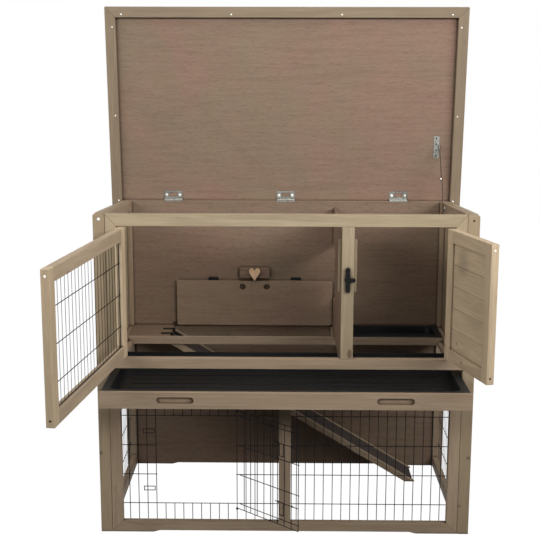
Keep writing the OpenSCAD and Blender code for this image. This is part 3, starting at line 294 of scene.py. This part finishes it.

# %% [markdown]
# The trays and the latch are injection-moulded polypropylene, coloured black right through. The mould
# leaves an even satin surface. On the trays faint streaks run along their length: their lighter bluish
# colour is a painted sheen, and their rougher gloss stands for the scuffs that the litter leaves. The
# wire is steel with a black polymer coat; the fittings are steel with a thin bright zinc plate. The
# felt on the roof and on the ramp is bitumen with mineral grit, and the heart is bare alder. Each of
# these could be one flat colour, but small noise in colour, gloss and bump is what tells them apart at
# a glance.

# %% Plastic, wire, zinc, felt and the heart's wood
def moulded_polypropylene(name, black, sheen_streak_colour, roughness, gloss):
    """Black moulded polypropylene: satin, IOR 1.49, with streaks 9 mm wide along X, painted sheen in
    colour, scuffs in roughness.
    """
    material, tree = new_material(name)
    place = add(tree, "TexCoord").outputs["Object"]
    streak_band_place = add(tree, "Mapping", {"Vector": place, "Scale": per_mm(160, 9, 9)})
    scuff_and_sheen_streaks = add(tree, "TexNoise", {"Vector": streak_band_place, "Scale": 1, "Detail": 3})
    skin_place = add(tree, "Mapping", {"Vector": place, "Scale": per_mm(2, 2, 2)})
    skin = add(tree, "TexNoise", {"Vector": skin_place, "Scale": 1, "Detail": 1})
    # Painted sheen: lighter bluish streaks along X in the colour
    painted_sheen_share = add(tree, "MapRange", {"Value": scuff_and_sheen_streaks, "From Min": 0.35, "From Max": 0.75})
    colour = add(tree, "Mix", {"Factor": painted_sheen_share, "A": linear(black), "B": linear(sheen_streak_colour)},
                 data_type="RGBA")
    sheen = add(tree, "MapRange", {"Value": scuff_and_sheen_streaks, "From Min": 0.3, "From Max": 0.7,
                                   "To Min": roughness, "To Max": roughness + 0.14})
    bump = add(tree, "Bump", {"Height": skin, "Strength": 0.06, "Distance": 0.2 * MM})
    surface = add(tree, "BsdfPrincipled", {"Base Color": colour, "Roughness": sheen, "IOR": 1.49,
                                           "Specular IOR Level": gloss, "Normal": bump})
    add(tree, "OutputMaterial", {"Surface": surface})
    return material


def coated_wire():
    """Polymer-coated steel wire: black with a soft gloss, a little greyer where the coat is thin."""
    material, tree = new_material("coated_wire")
    place = add(tree, "TexCoord").outputs["Object"]
    coat_place = add(tree, "Mapping", {"Vector": place, "Scale": per_mm(6, 6, 6)})
    coat = add(tree, "TexNoise", {"Vector": coat_place, "Scale": 1, "Detail": 2})
    coat_share = add(tree, "MapRange", {"Value": coat, "From Min": 0.4, "From Max": 0.7})
    colour = add(tree, "Mix", {"Factor": coat_share, "A": linear("#070606"), "B": linear("#100F0E")},
                 data_type="RGBA")
    surface = add(tree, "BsdfPrincipled", {"Base Color": colour, "Roughness": 0.55,
                                           "Specular IOR Level": 0.15})
    add(tree, "OutputMaterial", {"Surface": surface})
    return material


def plated_steel(name, bright, dull, roughness):
    """Plated steel: a metal whose plate has cloudy patches about 5 mm wide."""
    material, tree = new_material(name)
    place = add(tree, "TexCoord").outputs["Object"]
    cloud_place = add(tree, "Mapping", {"Vector": place, "Scale": per_mm(5, 5, 5)})
    clouds = add(tree, "TexNoise", {"Vector": cloud_place, "Scale": 1, "Detail": 2})
    cloud_share = add(tree, "MapRange", {"Value": clouds, "From Min": 0.35, "From Max": 0.7})
    colour = add(tree, "Mix", {"Factor": cloud_share, "A": linear(bright), "B": linear(dull)},
                 data_type="RGBA")
    sheen = add(tree, "MapRange", {"Value": clouds, "From Min": 0.3, "From Max": 0.7,
                                   "To Min": roughness, "To Max": roughness + 0.1})
    surface = add(tree, "BsdfPrincipled", {"Base Color": colour, "Metallic": 1, "Roughness": sheen})
    add(tree, "OutputMaterial", {"Surface": surface})
    return material


def mineral_felt(name, base, grit_colour):
    """Bitumen felt with mineral grit, drawn 2 mm coarse so that it still shows from two metres away."""
    material, tree = new_material(name)
    place = add(tree, "TexCoord").outputs["Object"]
    grit_place = add(tree, "Mapping", {"Vector": place, "Scale": per_mm(2, 2, 2)})
    grit = add(tree, "TexVoronoi", {"Vector": grit_place, "Scale": 1})
    worn_place = add(tree, "Mapping", {"Vector": place, "Scale": per_mm(90, 90, 90)})
    worn = add(tree, "TexNoise", {"Vector": worn_place, "Scale": 1, "Detail": 3})
    grains = grit.outputs["Color"]
    colour = add(tree, "Mix", {"Factor": grains, "A": linear(base), "B": linear(grit_colour)},
                 data_type="RGBA")
    worn_share = add(tree, "MapRange", {"Value": worn, "From Min": 0.4, "From Max": 0.7, "To Max": 0.4})
    colour = add(tree, "Mix", {"Factor": worn_share, "A": colour, "B": linear("#2A2520")}, data_type="RGBA")
    bump = add(tree, "Bump", {"Height": grit, "Strength": 0.35, "Distance": 0.6 * MM})
    surface = add(tree, "BsdfPrincipled", {"Base Color": colour, "Roughness": 0.92, "Normal": bump})
    add(tree, "OutputMaterial", {"Surface": surface})
    return material


# The second colour of each is the painted sheen of the streaks
tray_plastic = moulded_polypropylene("moulded_polypropylene", "#0E0F10", "#17191A", 0.42, 0.35)
latch_plastic = moulded_polypropylene("polished_polypropylene", "#070707", "#0B0B0C", 0.18, 0.2)
black_wire = coated_wire()
zinc = plated_steel("zinc_plate", "#B4B3AC", "#7F807B", 0.3)
bright_zinc = plated_steel("bright_zinc_plate", "#FAF9F4", "#E4E3DC", 0.16)
arm_steel = plated_steel("oiled_steel", "#5A4D42", "#43392F", 0.42)
roof_felt = mineral_felt("mineral_roofing_felt", "#3B3D3D", "#575A5A")
ramp_felt = mineral_felt("mineral_ramp_felt", "#332A26", "#483D37")
# The heart's colour is written paler than the alder is: painted light that makes up for the shade it stands
# in.
heart_wood = stained_fir("bare_alder", "#FFE0B6", "#FACCA0", ALONG_X, 0.001)
print("finishes:", len(bpy.data.materials))

# %% [markdown]
# Every carried-over board now gets its finish. Real planed timber never has a razor edge: the planer
# and the sander break it by a millimetre or so, and that thin bevel is what catches the light along
# each rail. The imported mesh has split corners, so a Weld modifier joins them first and a Bevel
# modifier breaks the edges. Modifiers leave the model's own vertices untouched.

# %% Dress the boards and panels
# The carried-over meshes repeat each corner; points closer than this are one
SAME_POINT = 0.002 * MM


def dress(name, material, edge_mm=0.0, segments=2):
    """Gives a carried-over node its finish and breaks its sharp edges by edge_mm."""
    piece = nodes[name]
    piece.data.materials.clear()
    piece.data.materials.append(material)
    weld = piece.modifiers.new("joined_corners", "WELD")
    weld.merge_threshold = SAME_POINT
    if edge_mm:
        bevel = piece.modifiers.new("broken_edges", "BEVEL")
        bevel.width = edge_mm * MM
        bevel.segments = segments
        bevel.limit_method = "ANGLE"
        bevel.angle_limit = math.radians(35)
        bevel.harden_normals = True


# Width of a broken edge in millimetres
EDGE = 1.4
boards = {
    "upper_top_rail": ("upper", ALONG_X), "upper_bottom_rail": ("lower", ALONG_X),
    "upper_stiles": ("upper", ALONG_Z), "upper_centre_post": ("upper", ALONG_Z),
    "door_stop": ("upper", ALONG_Z), "drawer_front": ("lower", ALONG_X),
    "lower_top_rail": ("lower", ALONG_X), "lower_bottom_rail": ("lower", ALONG_X),
    "lower_stiles": ("stile", ALONG_Z), "lower_centre_post": ("lower", ALONG_Z),
    "back_posts": ("lower", ALONG_Z),
    "side_boards": ("upper", ALONG_Y), "side_rails": ("lower", ALONG_Y),
    "back_rails": ("lower", ALONG_X), "floor_rails": ("lower", ALONG_X),
    "drawer_runners": ("lower", ALONG_Y), "ramp_side_rails": ("lower", ramp_down),
    "lid_front_batten": ("lid", ALONG_X), "lid_side_battens": ("lid", lid_up),
    "left_door_stiles": ("door", ALONG_Z), "left_door_rails": ("door_rail", left_door_across),
    "right_door_stiles": ("door", ALONG_Z),
}
for name, (shade, along) in boards.items():
    dress(name, timber(shade, along), EDGE)


def on_front_posts(across_mm, up_mm):
    """A place on the front posts in their own coordinates, from the hutch's middle and the ground."""
    spot = Vector((across_mm * MM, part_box("front_posts")[0][1], up_mm * MM))
    return nodes["front_posts"].matrix_world.inverted() @ spot


def on_right_door(name, across_mm, up_mm):
    """A place on the right door in a node's own coordinates, from the door's hinge and its foot."""
    hinge = Vector(joints["right_door_hinge"]["pos_m"])
    foot = reach("right_door_stiles", ALONG_Z)[0]
    outwards = right_door_across.cross(ALONG_Z)
    face = laid_on(hinge + right_door_across * across_mm * MM, outwards, reach(name, outwards)[1])
    face.z = foot + up_mm * MM
    return nodes[name].matrix_world.inverted() @ face


post_marks = [(on_front_posts(-541, 247), 8, "#4A3A2E", 0.6),
              (on_front_posts(537, 238), 7, "#4A3A2E", 0.6),
              (on_front_posts(516, 88), 6, "#4F3D30", 0.5)]
post_fir = stained_fir("stained_fir_posts", *STAIN_AND_PAINTED_LIGHT["post"], ALONG_Z, POST_KNOTS, post_marks)
dress("front_posts", post_fir, EDGE)
board_marks = [(on_right_door("right_door_boards", 71, 59), 5, "#5A3B2A", 0.75),
               (on_right_door("right_door_boards", 95, 293), 45, "#6C6459", 0.32)]
door_boards = stained_fir("stained_fir_door_boards", *STAIN_AND_PAINTED_LIGHT["door"], right_door_across, DOOR_KNOTS,
                          board_marks)
dress("right_door_boards", door_boards, EDGE / 3)
rail_marks = [(on_right_door("right_door_rails", 118, 17), 6, "#4A3526", 0.7),
              (on_right_door("right_door_rails", 255, 34), 9, "#5E4633", 0.6)]
door_rails = stained_fir("stained_fir_door_rails", *STAIN_AND_PAINTED_LIGHT["door"], right_door_across, DOOR_KNOTS,
                         rail_marks)
dress("right_door_rails", door_rails, EDGE)
panels = {"lid_panel": lid_plywood, "back_panel": wall_plywood, "partition": wall_plywood,
          "floor_board": wall_plywood, "ramp_board": wall_plywood, "catch_block": wall_plywood,
          "flap": flap_plywood}
for name, plywood in panels.items():
    dress(name, plywood, EDGE / 2, 1)
dress("heart", heart_wood, EDGE, 3)
print("boards:", len(boards), "panels:", len(panels))

# %% [markdown]
# Wire, moulded plastic and pressed steel come with their own roundings from the model, so most of them
# need a finish only. The trays get a fine bevel and the latch a rounder one, because moulded edges are
# never sharp.

# %% Dress the wire, the plastic and the metal
wires = ["run_left_mesh", "run_right_mesh", "bolt_keepers", "wire_door",
         "upper_bolt", "lower_bolt", "ramp_hooks"]
for name in wires:
    dress(name, black_wire)
for name in ("rear_tray", "drawer_tray"):
    dress(name, tray_plastic, EDGE / 2)
for name in ("latch_plate", "latch_bar", "flap_clips"):
    dress(name, latch_plastic, EDGE, 3)
fittings = ["lid_hinge_frame_leaves", "door_hinge_frame_leaves", "stay_side_bracket", "lid_hinge_leaves",
            "stay_lid_plate", "left_door_hinges", "right_door_hinges"]
for name in fittings:
    dress(name, zinc)
for name in ("stay_upper_arm", "stay_lower_arm", "flap_brackets"):
    dress(name, arm_steel)
dress("roof_felt", roof_felt)
dress("ramp_grip", ramp_felt)
print("wire pieces:", len(wires), "fittings:", len(fittings))

# %% [markdown]
# The mesh of the left door and of the two sides has finer uprights than that of the run. Thinning the
# carried-over mesh with a modifier would pull its crossings apart, so both are laid again here from
# round rods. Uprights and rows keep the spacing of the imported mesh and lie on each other, pressed in a
# little as a welding machine leaves them. On the door the border wires show beside the hinge and along
# the foot.

# %% Fine wire of the left door and the sides
UPRIGHT_RADIUS, ROW_RADIUS = 0.65 * MM, 1.1 * MM
WIRE_PITCH, WIRE_ROW, FIRST_ROW = 26.6 * MM, 91 * MM, 81 * MM
# How far uprights run on behind the door's rails, and how far inside the mesh's edge the border wires lie
LET_IN, BORDER_IN = 4 * MM, 2 * MM
# Distance between the two layers, a little less than touching wires have
WELD_STEP = 0.85 * (UPRIGHT_RADIUS + ROW_RADIUS)


def new_piece(name, shape, finish, body, place=(0, 0, 0)):
    """Turns a bmesh into a piece with its finish, which rides on a body."""
    mesh = bpy.data.meshes.new(name)
    shape.to_mesh(mesh)
    shape.free()
    mesh.materials.append(finish)
    piece = bpy.data.objects.new(name, mesh)
    piece.location = place
    bpy.context.scene.collection.objects.link(piece)
    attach(piece, body)
    return piece


def fine_mesh(name, rods, body, node):
    """Round wires between pairs of points, as one piece in place of a carried-over mesh."""
    shape = bmesh.new()
    for start, end, radius in rods:
        turn = (end - start).to_track_quat("Z", "X").to_matrix().to_4x4()
        middle = Matrix.Translation((start + end) / 2)
        bmesh.ops.create_cone(shape, cap_ends=True, segments=12, radius1=radius, radius2=radius,
                              depth=(end - start).length, matrix=middle @ turn)
    for face in shape.faces:
        face.smooth = len(face.verts) == 4
    piece = new_piece(name, shape, black_wire, body)
    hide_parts(node)


def crossing_rods(across_span, up_span, rows, place):
    """Uprights spread evenly over the span, and rows over them.

    place turns a distance across, a height and a layer into a point.
    """
    near, far = across_span
    low, high = up_span
    gaps = math.floor((far - near) / WIRE_PITCH) - 1
    first = (near + far - gaps * WIRE_PITCH) / 2
    uprights = [first + n * WIRE_PITCH for n in range(gaps + 1)]
    rods = [(place(across, low, 0), place(across, high, 0), UPRIGHT_RADIUS) for across in uprights]
    rods += [(place(near, up, WELD_STEP), place(far, up, WELD_STEP), ROW_RADIUS) for up in rows]
    return rods


def on_left_door(across, up, layer):
    """A point of the left door's mesh, counted across from the hinge, up and inwards."""
    return left_door_across * across + ALONG_Z * up + door_inwards * (door_depth + layer)


door_inwards = turned_back("left_door_hinge", 1, ALONG_Y)
door_depth = sum(reach("left_door_mesh", door_inwards)) / 2
mesh_low, mesh_high = reach("left_door_mesh", ALONG_Z)
mesh_near, mesh_far = reach("left_door_mesh", left_door_across)
up_span = (mesh_low - LET_IN, mesh_high + LET_IN)
door_rows = [(mesh_low + mesh_high) / 2 + n * WIRE_ROW for n in (-1, 0, 1)] + [mesh_low + BORDER_IN]
door_rods = crossing_rods((mesh_near, mesh_far), up_span, door_rows, on_left_door)
border_ends = [on_left_door(mesh_near + BORDER_IN, up, 0) for up in up_span]
door_rods.append((*border_ends, ROW_RADIUS))
fine_mesh("left_door_fine_mesh", door_rods, "left_door", "left_door_mesh")

side_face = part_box("side_rails")[1][0]
side_rows = [FIRST_ROW + n * WIRE_ROW for n in range(4)]
side_spans = reach("side_mesh", ALONG_Y), reach("side_mesh", ALONG_Z)
side_rods = []
for side in (-1, 1):
    def on_side(along, up, layer):
        """A point of this side's mesh, counted outwards from the rails."""
        return Vector((side * (side_face + UPRIGHT_RADIUS + layer), along, up))

    side_rods += crossing_rods(*side_spans, side_rows, on_side)
fine_mesh("side_fine_mesh", side_rods, "root", "side_mesh")
print("door rods:", len(door_rods), "side rods:", len(side_rods))

# %% [markdown]
# Screws hold the lid's battens, its hinges, the stay and the door frames. A plain disc would do from
# far away, but a pan head with a cross recess catches the light as the real one does. One head is a
# stack of rings with 24 points each: the rim, the crown, then the cross outline and its smaller copy at
# the bottom of the recess. At 15 degree steps a cross needs only four different reaches, so no
# modelling by hand is needed.

# %% Screws
RING_STEPS = 24
ARM_REACH, ARM_HALF_WIDTH = 0.62, 0.166
# Each ring of a head: its reach, its height as a share of the crown, and whether it follows the cross
HEAD_RINGS = [(1.0, 0.0, False), (0.97, 0.45, False), (0.86, 0.82, False), (0.72, 1.0, False),
              (1.0, 1.0, True), (0.75, 0.2, True)]


def cross_reach(step):
    """Reach of the cross recess in one of the 24 directions, as a share of the head's radius."""
    from_arm = abs((step + 3) % 6 - 3)
    if from_arm == 0:
        return ARM_REACH
    return ARM_HALF_WIDTH / math.sin(from_arm * 2 * math.pi / RING_STEPS)


def add_head(shape, spot, facing, radius, crown):
    """Adds one pan head to a bmesh, its underside at the spot."""
    turn = ALONG_Z.rotation_difference(facing)
    last = None
    for share, height, crossed in HEAD_RINGS:
        ring = []
        for step in range(RING_STEPS):
            angle = step * 2 * math.pi / RING_STEPS
            out = radius * share * (cross_reach(step) if crossed else 1)
            ring.append(shape.verts.new(
                spot + turn @ Vector((out * math.cos(angle), out * math.sin(angle), height * crown))))
        if last:
            for step in range(RING_STEPS):
                after = (step + 1) % RING_STEPS
                shape.faces.new((last[step], last[after], ring[after], ring[step]))
        last = ring
    shape.faces.new(last)


def screw_heads(name, spots, facing, body, finish, radius_mm, crown_mm):
    """Pan-head screws on the given spots, as one piece that rides a body."""
    shape = bmesh.new()
    for spot in spots:
        add_head(shape, spot, facing, radius_mm * MM, crown_mm * MM)
    return new_piece(name, shape, finish, body)


def lump_middles(name):
    """The middle of each separate lump of a node's mesh."""
    shape = bmesh.new()
    shape.from_mesh(nodes[name].data)
    shape.transform(nodes[name].matrix_world)
    bmesh.ops.remove_doubles(shape, verts=shape.verts, dist=SAME_POINT)
    seen = set()
    middles = []
    for vertex in shape.verts:
        if vertex in seen:
            continue
        seen.add(vertex)
        lump = [vertex]
        # The list grows while it is walked through, until the lump has no new neighbours
        for member in lump:
            beside = [edge.other_vert(member) for edge in member.link_edges]
            fresh = [other for other in beside if other not in seen]
            seen.update(fresh)
            lump += fresh
        middles.append(sum((member.co for member in lump), Vector()) / len(lump))
    shape.free()
    return middles


batten_level = reach("lid_front_batten", lid_face)[1]
lid_spots = [laid_on(spot, lid_face, batten_level) for spot in lump_middles("lid_screws")]
lid_screws = screw_heads("lid_screw_heads", lid_spots, lid_face, "lid", bright_zinc, 3, 1.5)
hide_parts("lid_screws")

# The closed leaves lie 1.4 mm apart, half of that on each side of the axis
LEAF_GAP = 0.7 * MM
leaf_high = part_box("lid_hinge_leaves")[1][0]
leaf_middle = (lid_axis.dot(lid_up) + reach("lid_hinge_leaves", lid_up)[1]) / 2
# Half of a leaf's length, and its screws' distance from its middle
HINGE_HALF, SCREW_OUT = 30 * MM, 22 * MM
leaf_spots = []
frame_spots = []
up = leaf_middle - lid_axis.dot(lid_up)
for hinge in (-1, 0, 1):
    for side in (-1, 1):
        x = hinge * (leaf_high - HINGE_HALF) + side * SCREW_OUT
        leaf_spots.append(Vector((x, lid_axis.y, lid_axis.z)) + lid_up * up - lid_face * LEAF_GAP)
        frame_spots.append(Vector((x, lid_axis.y - up, lid_axis.z - LEAF_GAP)))
screw_heads("hinge_screw_heads", leaf_spots, lid_face, "lid", bright_zinc, 4.6, 1.2)
screw_heads("frame_leaf_screw_heads", frame_spots, ALONG_Z, "root", zinc, 3.2, 0.15)
print("lid screws:", len(lid_spots), "hinge screws:", len(leaf_spots))

# %% [markdown]
# The same heads sit on the posts, on the edges of the doors and on the stay. Some are bright and some
# are dull, as on the real hutch. Their places are worked out from the pieces that they hold, so they
# follow a changed size. The stay's elbow turns on a rivet with a polished round head: half a ball, set
# over the head in the model.

# %% More screws: posts, doors and stay
post_low, post_high = map(Vector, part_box("front_posts"))
stile_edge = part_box("upper_stiles")[1][0]
post_x = (post_high.x + stile_edge) / 2
POST_DROP = 15 * MM
for name, side, finish, radius_mm in (("left", -1, bright_zinc, 4.5), ("right", 1, arm_steel, 3)):
    spot = Vector((side * post_x, post_low.y, post_high.z - POST_DROP))
    screw_heads("post_screw_" + name, [spot], -ALONG_Y, "root", finish, radius_mm, 1.2)

EDGE_DROP = 17 * MM
for door, across in (("left_door", left_door_across), ("right_door", right_door_across)):
    stile = door + "_stiles"
    thick = across.cross(ALONG_Z)
    edge = across * reach(stile, across)[1] + thick * sum(reach(stile, thick)) / 2
    low, high = reach(stile, ALONG_Z)
    ends = ("top", high - EDGE_DROP, bright_zinc), ("bottom", low + EDGE_DROP, arm_steel)
    for place, z, finish in ends:
        screw_heads(f"{door}_{place}_screw", [edge + ALONG_Z * z], across, door, finish, 3.2, 0.8)

# Thickness of the stay's sheet steel
PLATE_T = 1.5 * MM
plate_level = reach("lid_panel", lid_face)[1] + PLATE_T
PLATE_SCREW_IN = 8 * MM
plate_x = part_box("stay_lid_plate")[0][0] + PLATE_SCREW_IN
plate_low, plate_high = reach("stay_lid_plate", lid_up)
plate_spots = []
for share in (0.1, 0.36, 0.64, 0.9):
    spot = ALONG_X * plate_x + lid_up * (plate_low + share * (plate_high - plate_low))
    plate_spots.append(laid_on(spot, lid_face, plate_level))
screw_heads("stay_plate_screws", plate_spots, lid_face, "lid", arm_steel, 2.8, 1.0)


def rivet(name, middle, radius_mm, body):
    """A bright rivet head: the half of a ball that faces left."""
    shape = bmesh.new()
    bmesh.ops.create_uvsphere(shape, u_segments=24, v_segments=12, radius=radius_mm * MM)
    hidden = [vertex for vertex in shape.verts if vertex.co.x > SAME_POINT]
    bmesh.ops.delete(shape, geom=hidden, context="VERTS")
    for face in shape.faces:
        face.smooth = True
    new_piece(name, shape, bright_zinc, body, middle)


# The model's own rivet head, and how far the polished one stands over it, in millimetres
BALL_RADIUS, CAP_OVER = 4.8, 0.2
upper_arm = nodes["stay_upper_arm"]
arm_points = [upper_arm.matrix_world @ vertex.co for vertex in upper_arm.data.vertices]
ball_pole = min(arm_points, key=lambda spot: spot.x)
rivet("stay_elbow_rivet", ball_pole + ALONG_X * BALL_RADIUS * MM, BALL_RADIUS + CAP_OVER, "stay_upper")
bracket_low, bracket_high = map(Vector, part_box("stay_side_bracket"))
bracket_x = bracket_high.x - PLATE_T
bracket_y = (bracket_low.y + bracket_high.y) / 2
BRACKET_SCREW = 6 * MM
bracket_spots = [Vector((bracket_x, bracket_y + side * BRACKET_SCREW, bracket_high.z - BRACKET_SCREW))
                 for side in (-1, 1)]
screw_heads("stay_bracket_screws", bracket_spots, -ALONG_X, "root", bright_zinc, 2.8, 1.0)

# %% [markdown]
# The floor and the background of a product picture are plain white. The floor is a sheet of grey paper
# whose camera, glossy and transmission rays see mostly white light, so the picture stays white, a soft
# shadow is kept and little light is thrown up into the run. Four soft boxes and a dim white world light
# the hutch. Two wide and flat ones stand at the front, left and right, with the right one stronger.
# They stand higher than the open lid, so the rails throw their shade into the rooms and the drawer into
# the run. A weak one hangs above, and another lights the back. Grids on the boxes narrow their beams.
# The camera's place and lens were found from the straight edges of the body, the drawer and the lid.

# %% Floor, lights and camera
def seen_directly(tree):
    """One where a camera, glossy or transmission ray looks, zero for light that bounces on."""
    path = add(tree, "LightPath")
    rays = path.outputs["Is Camera Ray"]
    for other in ("Is Glossy Ray", "Is Transmission Ray"):
        rays = add(tree, "Math", {0: rays, 1: path.outputs[other]}, operation="MAXIMUM")
    return rays


def white_floor(half):
    """A sheet of grey paper under the hutch that looks white."""
    mesh = bpy.data.meshes.new("paper_sheet")
    corners = [(-half, -half, 0), (half, -half, 0), (half, half, 0), (-half, half, 0)]
    mesh.from_pydata(corners, [], [(0, 1, 2, 3)])
    sheet = bpy.data.objects.new("paper_sheet", mesh)
    bpy.context.scene.collection.objects.link(sheet)
    material, tree = new_material("grey_paper")
    paper = add(tree, "BsdfPrincipled", {"Base Color": linear("#222222"), "Roughness": 0.9})
    glow = add(tree, "Emission", {"Color": (1, 1, 1, 1), "Strength": 1.05})
    share = add(tree, "Math", {0: seen_directly(tree), 1: 0.96}, operation="MULTIPLY")
    mixed = add(tree, "MixShader", {0: share, 1: paper, 2: glow})
    add(tree, "OutputMaterial", {"Surface": mixed})
    mesh.materials.append(material)
    sheet.location.z = -0.5 * MM


def white_world(level):
    """A white surround that the camera sees as white and that lights the hutch at a lower level."""
    world = bpy.data.worlds.new("studio")
    bpy.context.scene.world = world
    world.use_nodes = True
    tree = world.node_tree
    tree.nodes.clear()
    strength = add(tree, "MapRange", {"Value": seen_directly(tree), "To Min": level})
    light = add(tree, "Background", {"Color": (1, 1, 1, 1), "Strength": strength})
    add(tree, "OutputWorld", {"Surface": light})


# Angle of the beam behind a grid
BEAM = math.radians(110)


def soft_box(name, place, target, width, height, watts):
    """A rectangular studio lamp with a grid that points at a target."""
    lamp = bpy.data.lights.new(name, "AREA")
    lamp.shape = "RECTANGLE"
    lamp.size, lamp.size_y, lamp.energy = width, height, watts
    lamp.spread = BEAM
    box = bpy.data.objects.new(name, lamp)
    box.location = place
    box.rotation_euler = (Vector(target) - Vector(place)).to_track_quat("-Z", "Y").to_euler()
    bpy.context.scene.collection.objects.link(box)


white_floor(6)
white_world(0.02)
soft_box("left_soft_box", (-2.2, -1.8, 2.0), (0, 0.3, 1.6), 3.2, 0.7, 20.5)
soft_box("right_soft_box", (2.0, -1.8, 2.0), (0, 0.3, 1.6), 3.2, 0.8, 36.5)
soft_box("top_soft_box", (0, -0.8, 3.1), (0, 0, 0.8), 2.0, 1.0, 8)
soft_box("back_soft_box", (0, 3.0, 2.2), (0, 0.6, 0.8), 1.6, 1.0, 9.5)

camera_data = bpy.data.cameras.new("camera")
camera_data.lens, camera_data.sensor_width = 71.3, 36
camera = bpy.data.objects.new("camera", camera_data)
camera.location = (-0.006, -2.959, 1.369)
YAW, PITCH, ROLL = (math.radians(angle) for angle in (0.74, 90 - 10.89, 0.12))
aim = Matrix.Rotation(YAW, 3, "Z") @ Matrix.Rotation(PITCH, 3, "X") @ Matrix.Rotation(ROLL, 3, "Z")
camera.rotation_euler = aim.to_euler()
bpy.context.scene.collection.objects.link(camera)
bpy.context.scene.camera = camera
bpy.context.scene.view_settings.view_transform = "Standard"
print("camera at", tuple(camera.location))
